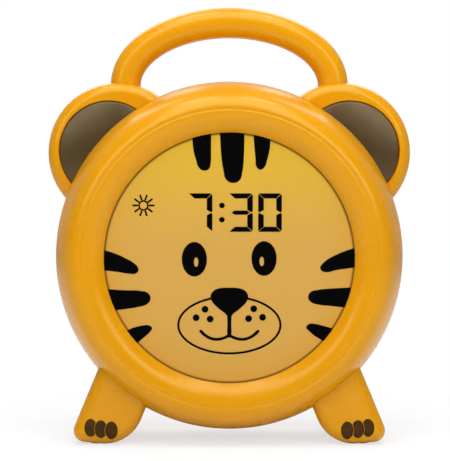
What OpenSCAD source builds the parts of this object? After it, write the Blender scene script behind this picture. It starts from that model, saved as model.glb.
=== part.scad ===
// Children's alarm clock with a night light, in the shape of a tiger's head.
// A round drum stands on two splayed paws. It carries two ears with dark inlays and
// a fixed carry handle, and shows a large lit window at the front.
// Frame: +X to the viewer's right, +Y to the back, +Z up. The origin is on the
// table, midway between the paws and halfway through the body's depth.

/* [Body] */
// Height of the body's lowest point above the table
stand_h = 5.1; // [3.5:0.1:8]
// Diameter of the round body
body_d = 163; // [150:1:176]
// Depth of the body, from the crest of the front ring to the back face
body_depth = 72; // [66:1:80]
// Wall of the two body shells
wall = 2.4; // [2:0.1:2.8]
// Width of the front ring, from the body's side to the window
ring_w = 24.5; // [23:0.5:27]
// How far the ring's crest stands in from the body's side
crest_inset = 11.7; // [11:0.1:14]
// Rounding of the ring from its crest in to the window
bezel_round = 19; // [16:0.5:24]
// Rounding of the ring's outer side, next to the crest
nose_round = 9; // [7:0.5:10]
// Depth from the crest to the straight part of the ring's side
shoulder_depth = 24; // [20:0.5:25]
// Rounding of the back's edge
back_round = 24; // [20:0.5:25]
// Height of the lip in front of the window
lip_h = 1.2; // [0.8:0.1:2]

/* [Ears] */
// Angle of each ear above the horizontal, seen from the body's centre
ear_angle = 42.7; // [38:0.1:47]
// Diameter of each ear
ear_d = 65.2; // [62:0.2:70]
// How far each ear's centre lies inside the body's rim
ear_sink = 10.6; // [9:0.2:12]
// Thickness of each ear
ear_t = 20; // [19:0.5:22]
// Rounding of an ear's rim
ear_round = 5; // [4:0.2:6]
// Wall of an ear
ear_wall = 2.2; // [1.8:0.1:2.6]
// Diameter of the dark inlay in each ear
inlay_d = 46; // [42:0.2:50]
// How far each inlay's centre lies outward of the ear's centre
inlay_out = 4.1; // [3:0.1:5]
// How far each inlay's centre lies above the ear's centre
inlay_up = 1; // [0:0.1:2]
// Height of the inlay's dome
inlay_dome = 2.4; // [1.5:0.1:3]

/* [Handle] */
// Width of the handle's bar, seen from the front
bar_w = 14; // [12:0.2:15]
// Depth of the handle's bar
bar_t = 15; // [13.5:0.1:15.5]
// Height of the handle's arch above its straight legs, at the middle of the bar
arch_rise = 29.2; // [28:0.2:34]
// How far the legs stand inward of the ears' centres
leg_inset = 3.4; // [2:0.1:5]

/* [Paws] */
// Angle below the horizontal at which each paw leaves the body
paw_angle = 51.4; // [49:0.1:54]
// Tilt of each paw away from the vertical
paw_splay = 22.6; // [20:0.2:25]
// Width of each paw
paw_w = 27.3; // [25:0.1:29]
// Depth of each paw
paw_t = 54; // [50:0.5:56]
// Wall of a paw
paw_wall = 2.4; // [2:0.1:3]
// Rounding of a paw's outer lower corner
heel_round = 5.3; // [5:0.1:7]
// Rounding of a paw's inner lower corner
instep_round = 18.2; // [14:0.2:20]
// Height of a paw's outer lower corner above the rest of its sole
heel_lift = 0.8; // [0.4:0.1:1.2]
// Rounding of a paw's front and rear edges
paw_edge = 4; // [3:0.2:5]
// Width of one toe pad
toe_w = 5.6; // [5:0.1:6]
// Height of one toe pad
toe_h = 8.2; // [7:0.1:9]
// Distance from one toe pad to the next
toe_pitch = 5; // [4.6:0.1:5.4]
// Gap between neighbouring toe pads
toe_gap = 0.4; // [0.3:0.05:0.6]
// Height of the middle toe pad's centre above the sole
toe_rise = 7.4; // [6:0.1:8]

/* [Display] */
// Thickness of the window
window_t = 2; // [1.6:0.1:2.6]
// Width of the liquid crystal panel
lcd_w = 92; // [86:1:94]
// Height of the liquid crystal panel
lcd_h = 80; // [74:1:82]
// Thickness of the liquid crystal panel
lcd_t = 2.8; // [2:0.1:3]
// Thickness of the light guide
guide_t = 4; // [3:0.1:4.4]
// Number of night light diodes
led_count = 5; // [3:1:7]

/* [Controls] */
// Diameter of a push button
button_d = 9; // [8:0.1:10]
// Distance from one push button to the next
button_pitch = 15; // [14:0.5:16]
// Travel of a push button
button_travel = 0.8; // [0.5:0.1:1]
// Travel of the slide switch
switch_travel = 4; // [3:0.1:4.5]
// Diameter of the loudspeaker
speaker_d = 25; // [22:0.5:26]

/* [Battery] */
// Diameter of a battery cell
cell_d = 14.5; // [14:0.1:14.6]
// Length of a battery cell
cell_l = 50.5; // [50:0.1:51]
// Thickness of the battery door
door_t = 2.6; // [2.4:0.1:3]

/* [Hidden] */
$fn = 64;

// Clearances
fit = 0.1;         // between pieces that are pushed together
slip = 0.2;        // around pieces that are dropped into a seat
running = 0.05;    // around a turning pin
cut = 1;           // how far a cutter reaches past the face that it opens

// Body: its rings are drawn as [radius, depth]
body_r = body_d / 2;
body_z = body_r + stand_h;
front_y = -body_depth / 2;
back_y = body_depth / 2;
inner_r = body_r - wall;
window_r = body_r - ring_w;
crest_r = body_r - crest_inset;
seam = 0.35;
shoulder_y = front_y + shoulder_depth;
side_a = body_r - crest_r;
side_h = shoulder_depth - nose_round;
side_round = (side_a * side_a + side_h * side_h - nose_round * nose_round) / (2 * (side_a - nose_round));
side_centre = [body_r - side_round, shoulder_y];
nose_centre = [crest_r, front_y + nose_round];
bezel_centre = [crest_r, front_y + bezel_round];
nose_end = 360 + atan2(nose_centre[1] - side_centre[1], nose_centre[0] - side_centre[0]);
back_centre = [body_r - back_round, back_y - back_round];
back_inner_y = back_y - wall;
lip_y = bezel_centre[1] - sqrt(bezel_round * bezel_round - pow(crest_r - window_r, 2));
arc_steps = 12;

// Window stack, from the lip backwards
window_y = lip_y + lip_h;
window_seat = 3;
seat_r = window_r + window_seat;
sleeve_r = seat_r + wall;
lcd_y = window_y + window_t + fit;
guide_y = lcd_y + lcd_t + fit;
guide_back_y = guide_y + guide_t;
sleeve_over = 1.4;
sleeve_end_y = guide_back_y + sleeve_over;
lcd_drop = 7.5;
lcd_edge_gap = 0.6;
lcd_r = seat_r - lcd_edge_gap;
lcd_low = lcd_h / 2 + lcd_drop;
lcd_chamfer = max(lcd_w / 2 - sqrt(lcd_r * lcd_r - lcd_low * lcd_low),
    lcd_low - sqrt(lcd_r * lcd_r - lcd_w * lcd_w / 4));

// Self-tapping screws
screw_r = 1.25;
screw_head_r = 2.4;
screw_head_t = 1.8;
screw_hole_r = screw_r + slip;
pilot_r = screw_r + running;
pilot_l = 7;
tray_screw_l = 8;
board_screw_l = 6;
bay_screw_l = 7;
ear_grip = 2.2;

// Reflector tray, which clamps the window stack
tray_cup = 5;
tray_wall = 2.4;
tray_floor_y = guide_back_y + tray_cup;
tray_floor_t = 1.6;
tray_lug_out = 5.1;
tray_lug_r = sleeve_r + tray_lug_out;
tray_lug_angles = [22.5, 157.5, 202.5, 337.5];
tray_lug_t = 2.5;
tray_boss_r = 3.2;
tray_cup_r = seat_r - slip - tray_wall;
led_board_w = 50;
led_board_h = 8;
led_board_t = 1.6;
led_t = 1.6;
led_w = 3.5;
led_h = 2.8;
led_dome_r = 1.2;
led_z = sqrt(tray_cup_r * tray_cup_r - led_board_w * led_board_w / 4) - led_board_h / 2 - fit;
led_lead_x = 20;
led_lead_hole_r = 1.8;

// Main board. Its parts are [width, height, thickness]
post_h = 5;
board_t = 1.6;
board_post_r = 3;
main_board_y = tray_floor_y + tray_floor_t + post_h;
main_board_back_y = main_board_y + board_t;
main_board_w = 92;
main_board_h = 72;
main_board_corner = 3;
main_post_inset = 5;
main_post = [main_board_w / 2 - main_post_inset, main_board_h / 2 - main_post_inset];
clock_chip = [14, 14, 1.6];
clock_chip_at = [0, 4];
driver_chip = [8, 5, 1.5];
driver_chips_at = [[-24, 14], [-24, -2]];
regulator = [6, 4, 2.4];
regulator_at = [26, 18];
capacitor_r = 3.1;
capacitor_h = 8;
capacitors_at = [[32, 4], [32, -8], [-34, 20]];
power_plug = [12, 6, 6.5];
power_plug_at = [20, -24];
speaker_plug = [8, 5, 3.5];
speaker_plug_at = [10, 24];
ribbon_plug_h = 4;
ribbon_plug_t = 3;
ribbon_plug_rim = 3;
ribbon_plug_up = 28;
display_plug_at = [0, ribbon_plug_rim - main_board_h / 2];

// Housing screws, from the back into the front shell
housing_inset = 11.5;
housing_r = body_r - housing_inset;
housing_angles = [0, 90, 180, 270];
housing_boss_r = 3.6;
housing_well_r = 3.3;
housing_shelf_t = 2.6;
housing_grip = 9;

// Register lip of the rear shell, inside the front shell's rim
register_t = 1.1;
register_h = 2.5;

// Tongues of the ears and paws, trapped on the parting line
tongue_t = 3;
tongue_w = 24;
paw_tongue_w = 18;
tongue_reach = 11;
tongue_end_r = body_r - tongue_reach;
tongue_post_inset = 6.5;
tongue_post_at = body_r - tongue_post_inset;
post_r = 3.4;
peg_r = 2;
peg_h = 4;

// Ears
ear_r = ear_d / 2;
ear_reach = body_r - ear_sink;
ear_x = ear_reach * cos(ear_angle);
ear_z = body_z + ear_reach * sin(ear_angle);
ear_split_y = 3;
inlay_r = inlay_d / 2;
inlay_depth = 3;
inlay_floor_y = -ear_t / 2 + inlay_depth;
inlay_inset = 1.2;
inlay_edge_y = -ear_t / 2 + inlay_inset;
inlay_t = 1.8;
inlay_at = [ear_x + inlay_out, ear_z - body_z + inlay_up];
ear_floor_t = 1.6;
ear_well = 2.2;
ear_head_seat_y = ear_t / 2 - ear_well;

// Handle. The shoulders meet the arch on a line that rises 4 for each 3 across
leg_x = round(10 * (ear_x - leg_inset)) / 10;
arch_z = round(10 * (ear_z + ear_r - 1)) / 10;
arch_link = round(10 * (leg_x - arch_rise) / 0.4) / 10;
arch_shoulder = leg_x - 0.6 * arch_link;
arch_top_r = arch_shoulder + arch_link;
arch_drop = 0.8 * arch_link;
bar_round = 6.4;
tenon_w = 9;
tenon_t = 8;
leg_end_r = ear_r - ear_wall + fit;
root_r = body_r + fit;
leg_floor = sqrt(pow(root_r + ear_wall, 2) - leg_x * leg_x);
leg_screw = [leg_x, (leg_floor + ear_z + leg_end_r - body_z) / 2 + 0.5];
ear_screw_out = 10;
ear_screw = polar(body_r + ear_screw_out, ear_angle - 10);

// Paws: n points outwards across the right paw, d points up along it
paw_n = [cos(paw_splay), sin(paw_splay)];
paw_d = [-sin(paw_splay), cos(paw_splay)];
paw_root = [body_r * cos(paw_angle), body_z - body_r * sin(paw_angle)];
paw_axis = paw_n * paw_root;
pad_t = 2;
pad_recess = 1.8;
pad_w = 10;
pad_l = 40;
pad_round = 3;
groove_pitch = 5;
groove_w = 1;
sole_z = pad_t - pad_recess;
paw_front_wall = 4;
paw_top_round = 7;
instep_steps = 3;
paw_sink = 20;
paw_top = paw_point(body_r - paw_sink);
heel = paw_corner(paw_axis + paw_w / 2 - heel_round, sole_z + heel_lift + heel_round);
instep = paw_corner(paw_axis - paw_w / 2 + instep_round, sole_z + instep_round);
pad_inset = 7.25;
pad_x = heel[0] - pad_inset;
toe_t = 1.6;
toe_recess = 0.8;
toe_at = [pad_x, sole_z + toe_rise];
toe_lift = 0.6;
toe_step = [toe_pitch, toe_lift];
toe_y = -paw_t / 2 + toe_recess;

// Control panel in the back face. Places there are [across, up] from the body's centre
row_z = 18;
button_r = button_d / 2;
panel_recess = 1.2;
panel_h = 15;
panel_w = 4 * button_pitch + panel_h;
panel_corner = 7;
panel_rim = 2;
panel_back_t = 2.2;
panel_floor_y = back_y - panel_recess;
panel_inner_y = panel_floor_y - panel_back_t;
button_flange = 1.2;
button_flange_r = button_r + button_flange;
button_flange_t = 1.2;
button_top_y = back_y - slip;
button_stem_r = 1.6;
button_stem_h = 1.6;
button_stem_y = panel_inner_y - fit - button_flange_t - button_stem_h;
button_dish_r = 14;
button_dish = 0.5;
tact_y = button_stem_y - button_travel - fit;
tact_h = 3.7;
tact_w = 6;
tact_plunger_h = 0.4;
tact_plunger_r = 1.7;
control_y = tact_y - tact_h;
control_back_y = control_y + board_t;

// Loudspeaker, above the control panel
grille_hole_r = 1;
grille_pitch = 3.8;
grille_rings = 2;
speaker_seat_h = 6.5;
speaker_seat_t = 1.5;
speaker_rim_t = 1.9;
speaker_basket_h = 3;
speaker_h = 7.9;
speaker_magnet_r = speaker_d / 2 - 4.2;
speaker_lip = 1.6;
speaker_bowl = 4;
speaker_bowl_r = 4;
paper_t = 0.5;
paper_drop = 3.2;
dust_cap_r = 3.6;
speaker_gap = 1;
speaker_z = row_z + panel_h / 2 + speaker_d / 2 + speaker_gap;
speaker_y = back_inner_y - fit;
speaker_back_y = speaker_y - speaker_h;

// Battery bay, below the control panel
cell_gap = 0.3;
cell_pitch = cell_d + cell_gap;
spring_room = 6;
bay_w = cell_l + spring_room;
bay_h = 3 * cell_pitch + 3 * cell_gap;
frame_t = 2;
frame_rim = 3.5;
door_gap = 0.25;
door_over = 1.4;
door_w = bay_w + 2 * door_over;
door_h = bay_h + 2 * door_over;
door_corner = 1.3;
door_y = back_y - door_t;
door_seat_y = door_y - fit;
frame_y = door_seat_y - frame_t;
lobe_r = 4.5;
lobe_rise = 3.4;
lobe_gap = 1.8;
bay_z = row_z - panel_h / 2 - lobe_gap - lobe_r - lobe_rise - door_h / 2;
lobe_at = [0, bay_z + door_h / 2 + lobe_rise];
bay_wall = 1.6;
bay_depth = cell_d + 2 * cell_gap;
bay_floor_y = frame_y - bay_depth;
bay_lug = bay_wall + board_post_r + slip;
bay_lug_t = 2;
bay_lug_r = 3.5;
bay_corner = 1.5;
bay_post_h = 6;
bay_post = [bay_w / 2 + bay_lug, bay_z];
bay_post_y = frame_y - bay_post_h;
cell_y = frame_y - cell_gap - cell_d / 2;
cell_tip_r = 2.7;
cell_tip_l = 1.2;
contact_t = 0.4;
contact_w = 10;
cell_shift = bay_w / 2 - contact_t - fit - cell_l / 2;
spring_r = 3.6;
spring_wire = 0.4;
spring_turns = 3;
spring_x = bay_w / 2 - contact_t - spring_wire - fit;
spring_l = spring_x - (cell_l / 2 - cell_shift) - spring_wire - fit;

// Battery door: it turns on two pins at its lower edge, and one screw holds it shut
hinge_y = back_y - door_t / 2;
hinge_z = bay_z - door_h / 2 + door_t / 2;
hinge_pin_r = 0.8;
hinge_pin_l = 1.5;
hinge_gap = 0.5;
door_screw_head_t = 1.2;
door_screw_l = 4.6;
door_boss_bore = screw_r + 2 * slip;
door_boss_wall = 1.2;
door_boss_r = door_boss_bore + door_boss_wall;
door_boss_l = 7.5;
door_rib_t = 1.6;
door_rib_d = 1.5;
door_rib_x = 14;
door_rib_end = 9;
grip_pitch = 3.2;
grip_w = 1.4;
grip_h = 7;
grip_depth = 0.6;
grip_drop = 8;

// Slide switch and power socket, on either side of the battery door
knob_w = 5;
knob_h = 4.4;
knob_rim = 0.6;
knob_flange_w = knob_w + 2 * switch_travel + 2 * knob_rim;
knob_flange_h = 7;
knob_flange_t = 1.2;
lever_w = 2;
ridge_h = 0.3;
ridge_w = 0.7;
ridge_pitch = 1.5;
switch_body_w = 9;
switch_body_h = 5;
switch_body_t = 4;
side_gap = 1;
switch_x = door_w / 2 + frame_rim + (knob_flange_w + switch_travel) / 2 + side_gap;
switch_z = -8;
recess_rim = 2;
recess_w = knob_w + switch_travel + 2 * recess_rim;
recess_h = 8;
recess_corner = 2;
recess_back_h = 14;
socket_w = 7.6;
socket_h = 3;
socket_wall = 0.5;
socket_round = 1;
socket_floor = 2;
socket_tongue_w = 4.6;
socket_tongue_t = 0.7;
socket_out = 1;
socket_y = back_inner_y + socket_out;
control_leg_w = 14;
control_leg_drop = 4;
control_w = 2 * switch_x + control_leg_w - 2;
control_h = 16;
control_leg_z = switch_z - control_leg_drop;
control_post_gap = 1;
control_post = [2 * button_pitch + button_flange_r + board_post_r + control_post_gap, row_z];

// Leads and ribbons
lead_d = 1.3;
lead_pitch = 2.4;
led_lead_pitch = 1.6;
lead_bow = 9;
short_bow = 5;
speaker_tab_pitch = 6;
speaker_pin_pitch = 2;
battery_lead_up = 14;
ribbon_t = 0.3;
ribbon_x = -14;
ribbon_w = 12;
ribbon_bow = 12;
ribbon_root = 4;
display_ribbon_w = 20;
display_ribbon_z = -lcd_low - fit - ribbon_t / 2;
display_slot_h = 3;
display_turn = 3;

// ---------- functions ----------

// Points along an arc about c, from angle a0 to a1
function arc(c, r, a0, a1, n = arc_steps) =
    [for (i = [0:n]) let (a = a0 + (a1 - a0) * i / n) [c[0] + r * cos(a), c[1] + r * sin(a)]];

function reversed(p) = [for (i = [len(p) - 1:-1:0]) p[i]];

// Place at radius r and angle a
function polar(r, a) = [r * cos(a), r * sin(a)];

function unit(v) = v / norm(v);

// Ellipse as a list of points
function ellipse(a, b, n = 40) = [for (i = [0:n - 1]) [a * cos(360 * i / n), b * sin(360 * i / n)]];

// Smooth line through four control points
function bezier(p, n = 14) = [for (i = [0:n]) let (t = i / n, u = 1 - t)
    u * u * u * p[0] + 3 * u * u * t * p[1] + 3 * u * t * t * p[2] + t * t * t * p[3]];

// Flat band of thickness t along the points p, as an outline
function band(p, t) = let (side = [for (i = [0:len(p) - 1])
        let (d = unit(p[min(i + 1, len(p) - 1)] - p[max(i - 1, 0)])) [-d[1], d[0]] * t / 2])
    concat(p + side, reversed(p - side));

// Outer line of the body's front half, grown by g, from radius x0 to the ring's side
function front_line(g = 0, x0 = window_r) = concat(
    arc(bezel_centre, bezel_round + g, 180 + acos((crest_r - x0) / (bezel_round + g)), 270),
    arc(nose_centre, nose_round + g, 270, nose_end),
    arc(side_centre, side_round + g, nose_end, 360));

// Outer line of the body's back half, grown by g
function back_line(g = 0) = arc(back_centre, back_round + g, 0, 90);

// Centre of a paw's corner, from its place across the paw and its height
function paw_corner(across, z) = [(across - paw_n[1] * z) / paw_n[0], z];

// Point on the paw's axis at distance r from the body's centre
function paw_point(r) =
    let (foot = paw_axis * paw_n - [0, body_z], b = foot * paw_d,
         t = -b - sqrt(b * b - foot * foot + r * r))
    foot + t * paw_d + [0, body_z];

// Front view of a paw, shrunk by g, as [centre, radius]
function paw_discs(g) = [
    [heel, heel_round - g],
    for (k = [0:instep_steps]) let (a = -90 - k * (90 - paw_splay) / instep_steps)
        [instep + (instep_round - paw_top_round) * [cos(a), sin(a)], paw_top_round - g],
    [paw_top + (paw_w / 2 - paw_top_round) * paw_n, paw_top_round - g],
    [paw_top - (paw_w / 2 - paw_top_round) * paw_n, paw_top_round - g]];

// Places of the posts that pass through the four tongues
function tongue_posts() = let (ear = polar(tongue_post_at, ear_angle),
        paw = paw_point(tongue_post_at) - [0, body_z])
    [for (side = [-1, 1], at = [ear, paw]) [side * at[0], at[1]]];

// Places of the five push buttons
function button_at(i) = [(i - 2) * button_pitch, row_z];

// The three cells: [height, +1 where the positive end is at +X]
function cell_rows() = [for (k = [-1:1]) [body_z + bay_z + k * cell_pitch, k == 0 ? -1 : 1]];

// Coil about X that narrows towards the cell, from x = 0 to x = length
function coil(length) = [for (i = [0:spring_turns * 12])
    let (s = i / (spring_turns * 12), r = spring_r * (1 - 0.35 * s))
    [length * s, r * cos(360 * spring_turns * s), r * sin(360 * spring_turns * s)]];

// ---------- helpers ----------

// Turns children about the body's axis: local +Z becomes +Y
module on_axis(x = 0, z = body_z) translate([x, 0, z]) rotate([-90, 0, 0]) children();

// Puts children at a place on the back, at depth y, with local +Z towards the back
module on_back(at, y) translate([at[0], y, body_z + at[1]]) rotate([-90, 0, 0]) children();

// Extrudes a front view, drawn in X and Z, from depth y0 to y1
module slab(y0, y1) translate([0, y1, 0]) rotate([90, 0, 0]) linear_extrude(y1 - y0) children();

// Cylinder along Y from y0 to y1, at a place on the back
module rod(at, r, y0, y1) on_back(at, y0) cylinder(r = r, h = y1 - y0);

// Mirrors children to the left side when side is -1
module to_side(side) mirror([side < 0 ? 1 : 0, 0, 0]) children();

// Rectangle with true round corners, centred
module round_rect(w, h, r) {
    square([w - 2 * r, h], center = true);
    square([w, h - 2 * r], center = true);
    for (sx = [-1, 1], sy = [-1, 1]) translate([sx * (w / 2 - r), sy * (h / 2 - r)]) circle(r);
}

// Pan head screw with the underside of its head at the origin and its shank along -Z
module screw(length, head_t = screw_head_t) {
    tip = 0.8;
    rim = 0.45 * head_t;
    slot_w = 0.5;
    translate([0, 0, tip - length]) cylinder(r = screw_r, h = length - tip);
    translate([0, 0, -length]) cylinder(r1 = screw_r * 0.35, r2 = screw_r, h = tip);
    difference() {
        union() {
            cylinder(r = screw_head_r, h = rim);
            translate([0, 0, rim]) cylinder(r1 = screw_head_r, r2 = screw_head_r * 0.62, h = head_t - rim);
        }
        for (a = [0, 90]) rotate(a) translate([-screw_head_r / 2, -slot_w / 2, rim])
            cube([screw_head_r, slot_w, head_t]);
    }
}

// Closed tube of n sides and radius r along the points p
module tube(p, r, n = 8) {
    rings = [for (i = [0:len(p) - 1])
        let (t = unit(p[min(i + 1, len(p) - 1)] - p[max(i - 1, 0)]),
             side = unit(cross(t, abs(t[2]) < 0.8 ? [0, 0, 1] : [0, 1, 0])), up = cross(side, t))
        [for (k = [0:n - 1]) p[i] + r * (cos(360 * k / n) * side + sin(360 * k / n) * up)]];
    polyhedron(
        points = [for (ring = rings) for (q = ring) q],
        faces = concat(
            [[for (k = [n - 1:-1:0]) k]],
            [for (i = [0:len(p) - 2]) for (k = [0:n - 1])
                let (a = i * n + k, b = i * n + (k + 1) % n) each [[a, b, b + n], [a, b + n, a + n]]],
            [[for (k = [0:n - 1]) (len(p) - 1) * n + k]]));
}

// Insulated wire that leaves start along Y, by out, and arrives at stop from the back
module lead(start, stop, out, arrive = lead_bow) {
    a = start + [0, sign(out) * cut, 0];
    b = stop + [0, cut, 0];
    tube(concat([start], bezier([a, a + [0, out, 0], b + [0, arrive, 0], b]), [stop]), lead_d / 2);
}

// Flat cable of width w at x, along points given as [depth, height from the body's centre]
module ribbon(x, w, path) translate([x - w / 2, 0, body_z]) rotate([90, 0, 90])
    linear_extrude(w) polygon(band(path, ribbon_t));

// The body's outside as a solid, grown by g, for trimming what sits against it
module envelope(g) on_axis() rotate_extrude() polygon(concat(
    [[0, front_y - cut], [window_r, front_y - cut]], front_line(g),
    [[body_r + g, 0]], back_line(g), [[0, back_y + g]]));

// Plan of the tongues, grown by g, with which the ears and paws are trapped
module tongue_plan(g = 0) for (side = [-1, 1]) mirror([side < 0 ? 1 : 0, 0]) {
    ear_tongue_plan(g);
    paw_tongue_plan(g);
}

module ear_tongue_plan(g = 0) translate([0, body_z]) rotate(ear_angle)
    translate([tongue_end_r - g, -tongue_w / 2 - g])
        square([body_r + ear_wall + cut - tongue_end_r, tongue_w + 2 * g]);

module paw_tongue_plan(g = 0) {
    reach = body_r + 8 - tongue_end_r;
    translate(paw_point(tongue_end_r)) rotate(paw_splay)
        translate([-paw_tongue_w / 2 - g, -reach]) square([paw_tongue_w + 2 * g, reach + g]);
}

// ---------- shells ----------

module front_shell() color("orange") {
    difference() {
        union() {
            on_axis() rotate_extrude() polygon(concat(
                front_line(), [[body_r, -seam], [body_r - seam, 0], [inner_r, 0]],
                reversed(front_line(-wall, sleeve_r)),
                [[sleeve_r, sleeve_end_y], [seat_r, sleeve_end_y], [seat_r, window_y],
                 [window_r, window_y]]));
            intersection() {
                on_axis() rotate_extrude() polygon(concat(
                    front_line(-wall / 2, sleeve_r - 1), [[body_r - wall / 2, 0], [sleeve_r - 1, 0]]));
                union() {
                    for (a = tray_lug_angles) rod(polar(tray_lug_r, a), tray_boss_r, front_y, sleeve_end_y);
                    for (a = housing_angles) rod(polar(housing_r, a), housing_boss_r, front_y, -fit);
                    for (at = tongue_posts()) rod(at, post_r, front_y, -tongue_t / 2 - fit);
                }
            }
        }
        slab(-tongue_t / 2 - fit, cut) tongue_plan(fit);
        for (a = tray_lug_angles)
            rod(polar(tray_lug_r, a), pilot_r, sleeve_end_y - pilot_l, sleeve_end_y + cut);
        for (a = housing_angles) rod(polar(housing_r, a), pilot_r, -housing_grip - cut, cut);
    }
    for (at = tongue_posts()) rod(at, peg_r, -tongue_t - peg_h, -tongue_t / 2 + peg_h);
}

module rear_shell() color("orange") difference() {
    union() {
        on_axis() rotate_extrude() polygon(concat(
            [[inner_r - fit, 0], [body_r - seam, 0], [body_r, seam]], back_line(),
            [[0, back_y], [0, back_inner_y]], reversed(back_line(-wall)),
            [[inner_r, register_h + 3], [inner_r - register_t - fit, register_h + 2],
             [inner_r - register_t - fit, -register_h], [inner_r - fit, -register_h]]));
        intersection() {
            on_axis() rotate_extrude() polygon(concat(
                [[0, 0], [body_r - wall / 2, 0]], back_line(-wall / 2), [[0, back_y - wall / 2]]));
            rear_posts();
        }
    }
    slab(-register_h - cut, tongue_t / 2 + fit) tongue_plan(fit);
    for (at = tongue_posts()) rod(at, peg_r + fit, 0, tongue_t / 2 + peg_h);
    for (a = housing_angles) {
        rod(polar(housing_r, a), screw_hole_r, -cut, housing_shelf_t + cut);
        rod(polar(housing_r, a), housing_well_r, housing_shelf_t, back_y + cut);
    }
    control_cuts();
    speaker_cuts();
    battery_cuts();
}

// Everything that stands on the inside of the rear shell
module rear_posts() {
    for (a = housing_angles) rod(polar(housing_r, a), housing_well_r + 1.5, fit, back_y);
    for (at = tongue_posts()) rod(at, post_r, tongue_t / 2 + fit, back_y);
    rod(lobe_at, door_boss_r, back_y - door_boss_l - 1.5, back_y);
    for (sx = [-1, 1]) {
        rod([sx * control_post[0], control_post[1]], board_post_r, control_back_y, back_y);
        rod([sx * bay_post[0], bay_post[1]], board_post_r, bay_post_y, back_y);
    }
    rod([0, speaker_z], speaker_d / 2 + slip + speaker_seat_t, back_inner_y - speaker_seat_h, back_y);
    on_back([0, row_z], panel_inner_y) linear_extrude(wall)
        round_rect(panel_w + 2 * panel_rim, panel_h + 2 * panel_rim, panel_corner + panel_rim);
    for (sx = [-1, 1]) on_back([sx * switch_x, switch_z], panel_inner_y) linear_extrude(wall)
        square([knob_flange_w + switch_travel, recess_back_h], center = true);
    on_back([0, bay_z], frame_y) linear_extrude(back_y - frame_y)
        square([door_w + 2 * frame_rim, door_h + 2 * frame_rim], center = true);
}

// Control panel, slide switch and power socket
module control_cuts() {
    on_back([0, row_z], panel_floor_y) linear_extrude(panel_recess + cut)
        round_rect(panel_w, panel_h, panel_corner);
    for (i = [0:4]) rod(button_at(i), button_r + fit, panel_inner_y - cut, back_y);
    for (sx = [-1, 1]) {
        on_back([sx * switch_x, switch_z], panel_floor_y) linear_extrude(panel_recess + cut)
            round_rect(recess_w, recess_h, recess_corner);
        rod([sx * control_post[0], control_post[1]], pilot_r, control_back_y - cut, back_inner_y - cut);
    }
    on_back([-switch_x, switch_z], panel_inner_y - cut) linear_extrude(panel_back_t + 2 * cut)
        square([knob_w + switch_travel + 2 * slip, knob_h + 2 * slip], center = true);
    on_back([switch_x, switch_z], panel_inner_y - cut) linear_extrude(panel_back_t + 2 * cut)
        round_rect(socket_w + 2 * slip, socket_h + 2 * slip, socket_round + slip);
}

// Seat of the loudspeaker, with a grille of holes in rings
module speaker_cuts() {
    rod([0, speaker_z], speaker_d / 2 + slip, back_inner_y - speaker_seat_h - cut, back_inner_y);
    for (ring = [0:grille_rings]) for (k = [0:max(ring * 6, 1) - 1])
        rod([0, speaker_z] + polar(ring * grille_pitch, 60 * k / max(ring, 1)), grille_hole_r,
            back_inner_y - cut, back_y + cut);
}

// Way into the battery bay, and the seat, hinge and screw boss of its door
module battery_cuts() {
    on_back([0, bay_z], frame_y - cut) linear_extrude(door_t + frame_t) square([bay_w, bay_h], center = true);
    on_back([0, bay_z], door_seat_y) linear_extrude(door_t + cut)
        round_rect(door_w + 2 * door_gap, door_h + 2 * door_gap, door_corner + door_gap);
    rod(lobe_at, lobe_r + door_gap, door_seat_y, back_y + cut);
    rod(lobe_at, door_boss_bore, back_y - door_boss_l, back_y);
    hinge_bar(hinge_pin_r + running, door_w / 2 + hinge_pin_l + slip);
    on_back([0, hinge_z], door_seat_y) linear_extrude(door_t + cut)
        square([door_w + 2 * door_gap, door_t + 2 * hinge_gap], center = true);
    for (sx = [-1, 1]) rod([sx * bay_post[0], bay_post[1]], pilot_r, bay_post_y - cut, back_inner_y - cut);
}

// Bar of radius r on the battery door's hinge axis, reaching half to either side
module hinge_bar(r, half) translate([-half, hinge_y, body_z + hinge_z]) rotate([0, 90, 0])
    cylinder(r = r, h = 2 * half);

// ---------- ears ----------

// Ear form turned about its own axis, shrunk by g, which keeps the walls even
module ear_form(g) {
    half = ear_t / 2 - g;
    corner = ear_round - g;
    edge_r = ear_r - ear_round;
    on_axis(ear_x, ear_z) rotate_extrude() polygon(concat(
        [[0, -half]], arc([edge_r, -half + corner], corner, -90, 0),
        arc([edge_r, half - corner], corner, 0, 90), [[0, half]]));
}

// Hollow ear with a root wall that follows the body
module ear_shell() {
    ear_at = [ear_x, ear_z - body_z];
    difference() {
        ear_form(0);
        rod([0, 0], root_r, -ear_t, ear_t);
        difference() {
            ear_form(ear_wall);
            rod([0, 0], root_r + ear_wall, -ear_t, ear_t);
            rod(ear_at, ear_r, -ear_t, inlay_floor_y + ear_floor_t);
        }
        rod(inlay_at, inlay_r + fit, -ear_t, inlay_floor_y);
        leg_form(fit, leg_end_r - ear_wall - cut, ear_r + cut);
    }
}

// Everything behind an ear's split, or in front of it
module ear_half(back) translate([0, back ? ear_split_y : ear_split_y - ear_t, 0])
    cube([2 * body_d, ear_t, 2 * body_d]);

module ear_cup(side) color("orange") to_side(side) difference() {
    union() {
        intersection() {
            ear_shell();
            ear_half(false);
        }
        intersection() {
            slab(-tongue_t / 2, tongue_t / 2) ear_tongue_plan();
            rod([0, 0], root_r + ear_wall / 2, -tongue_t, tongue_t);
        }
        rod(ear_screw, board_post_r, inlay_floor_y + ear_floor_t / 2, ear_split_y);
    }
    rod(ear_screw, pilot_r, ear_split_y - pilot_l, ear_split_y + cut);
    rod(polar(tongue_post_at, ear_angle), peg_r + fit, -tongue_t, tongue_t);
}

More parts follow.
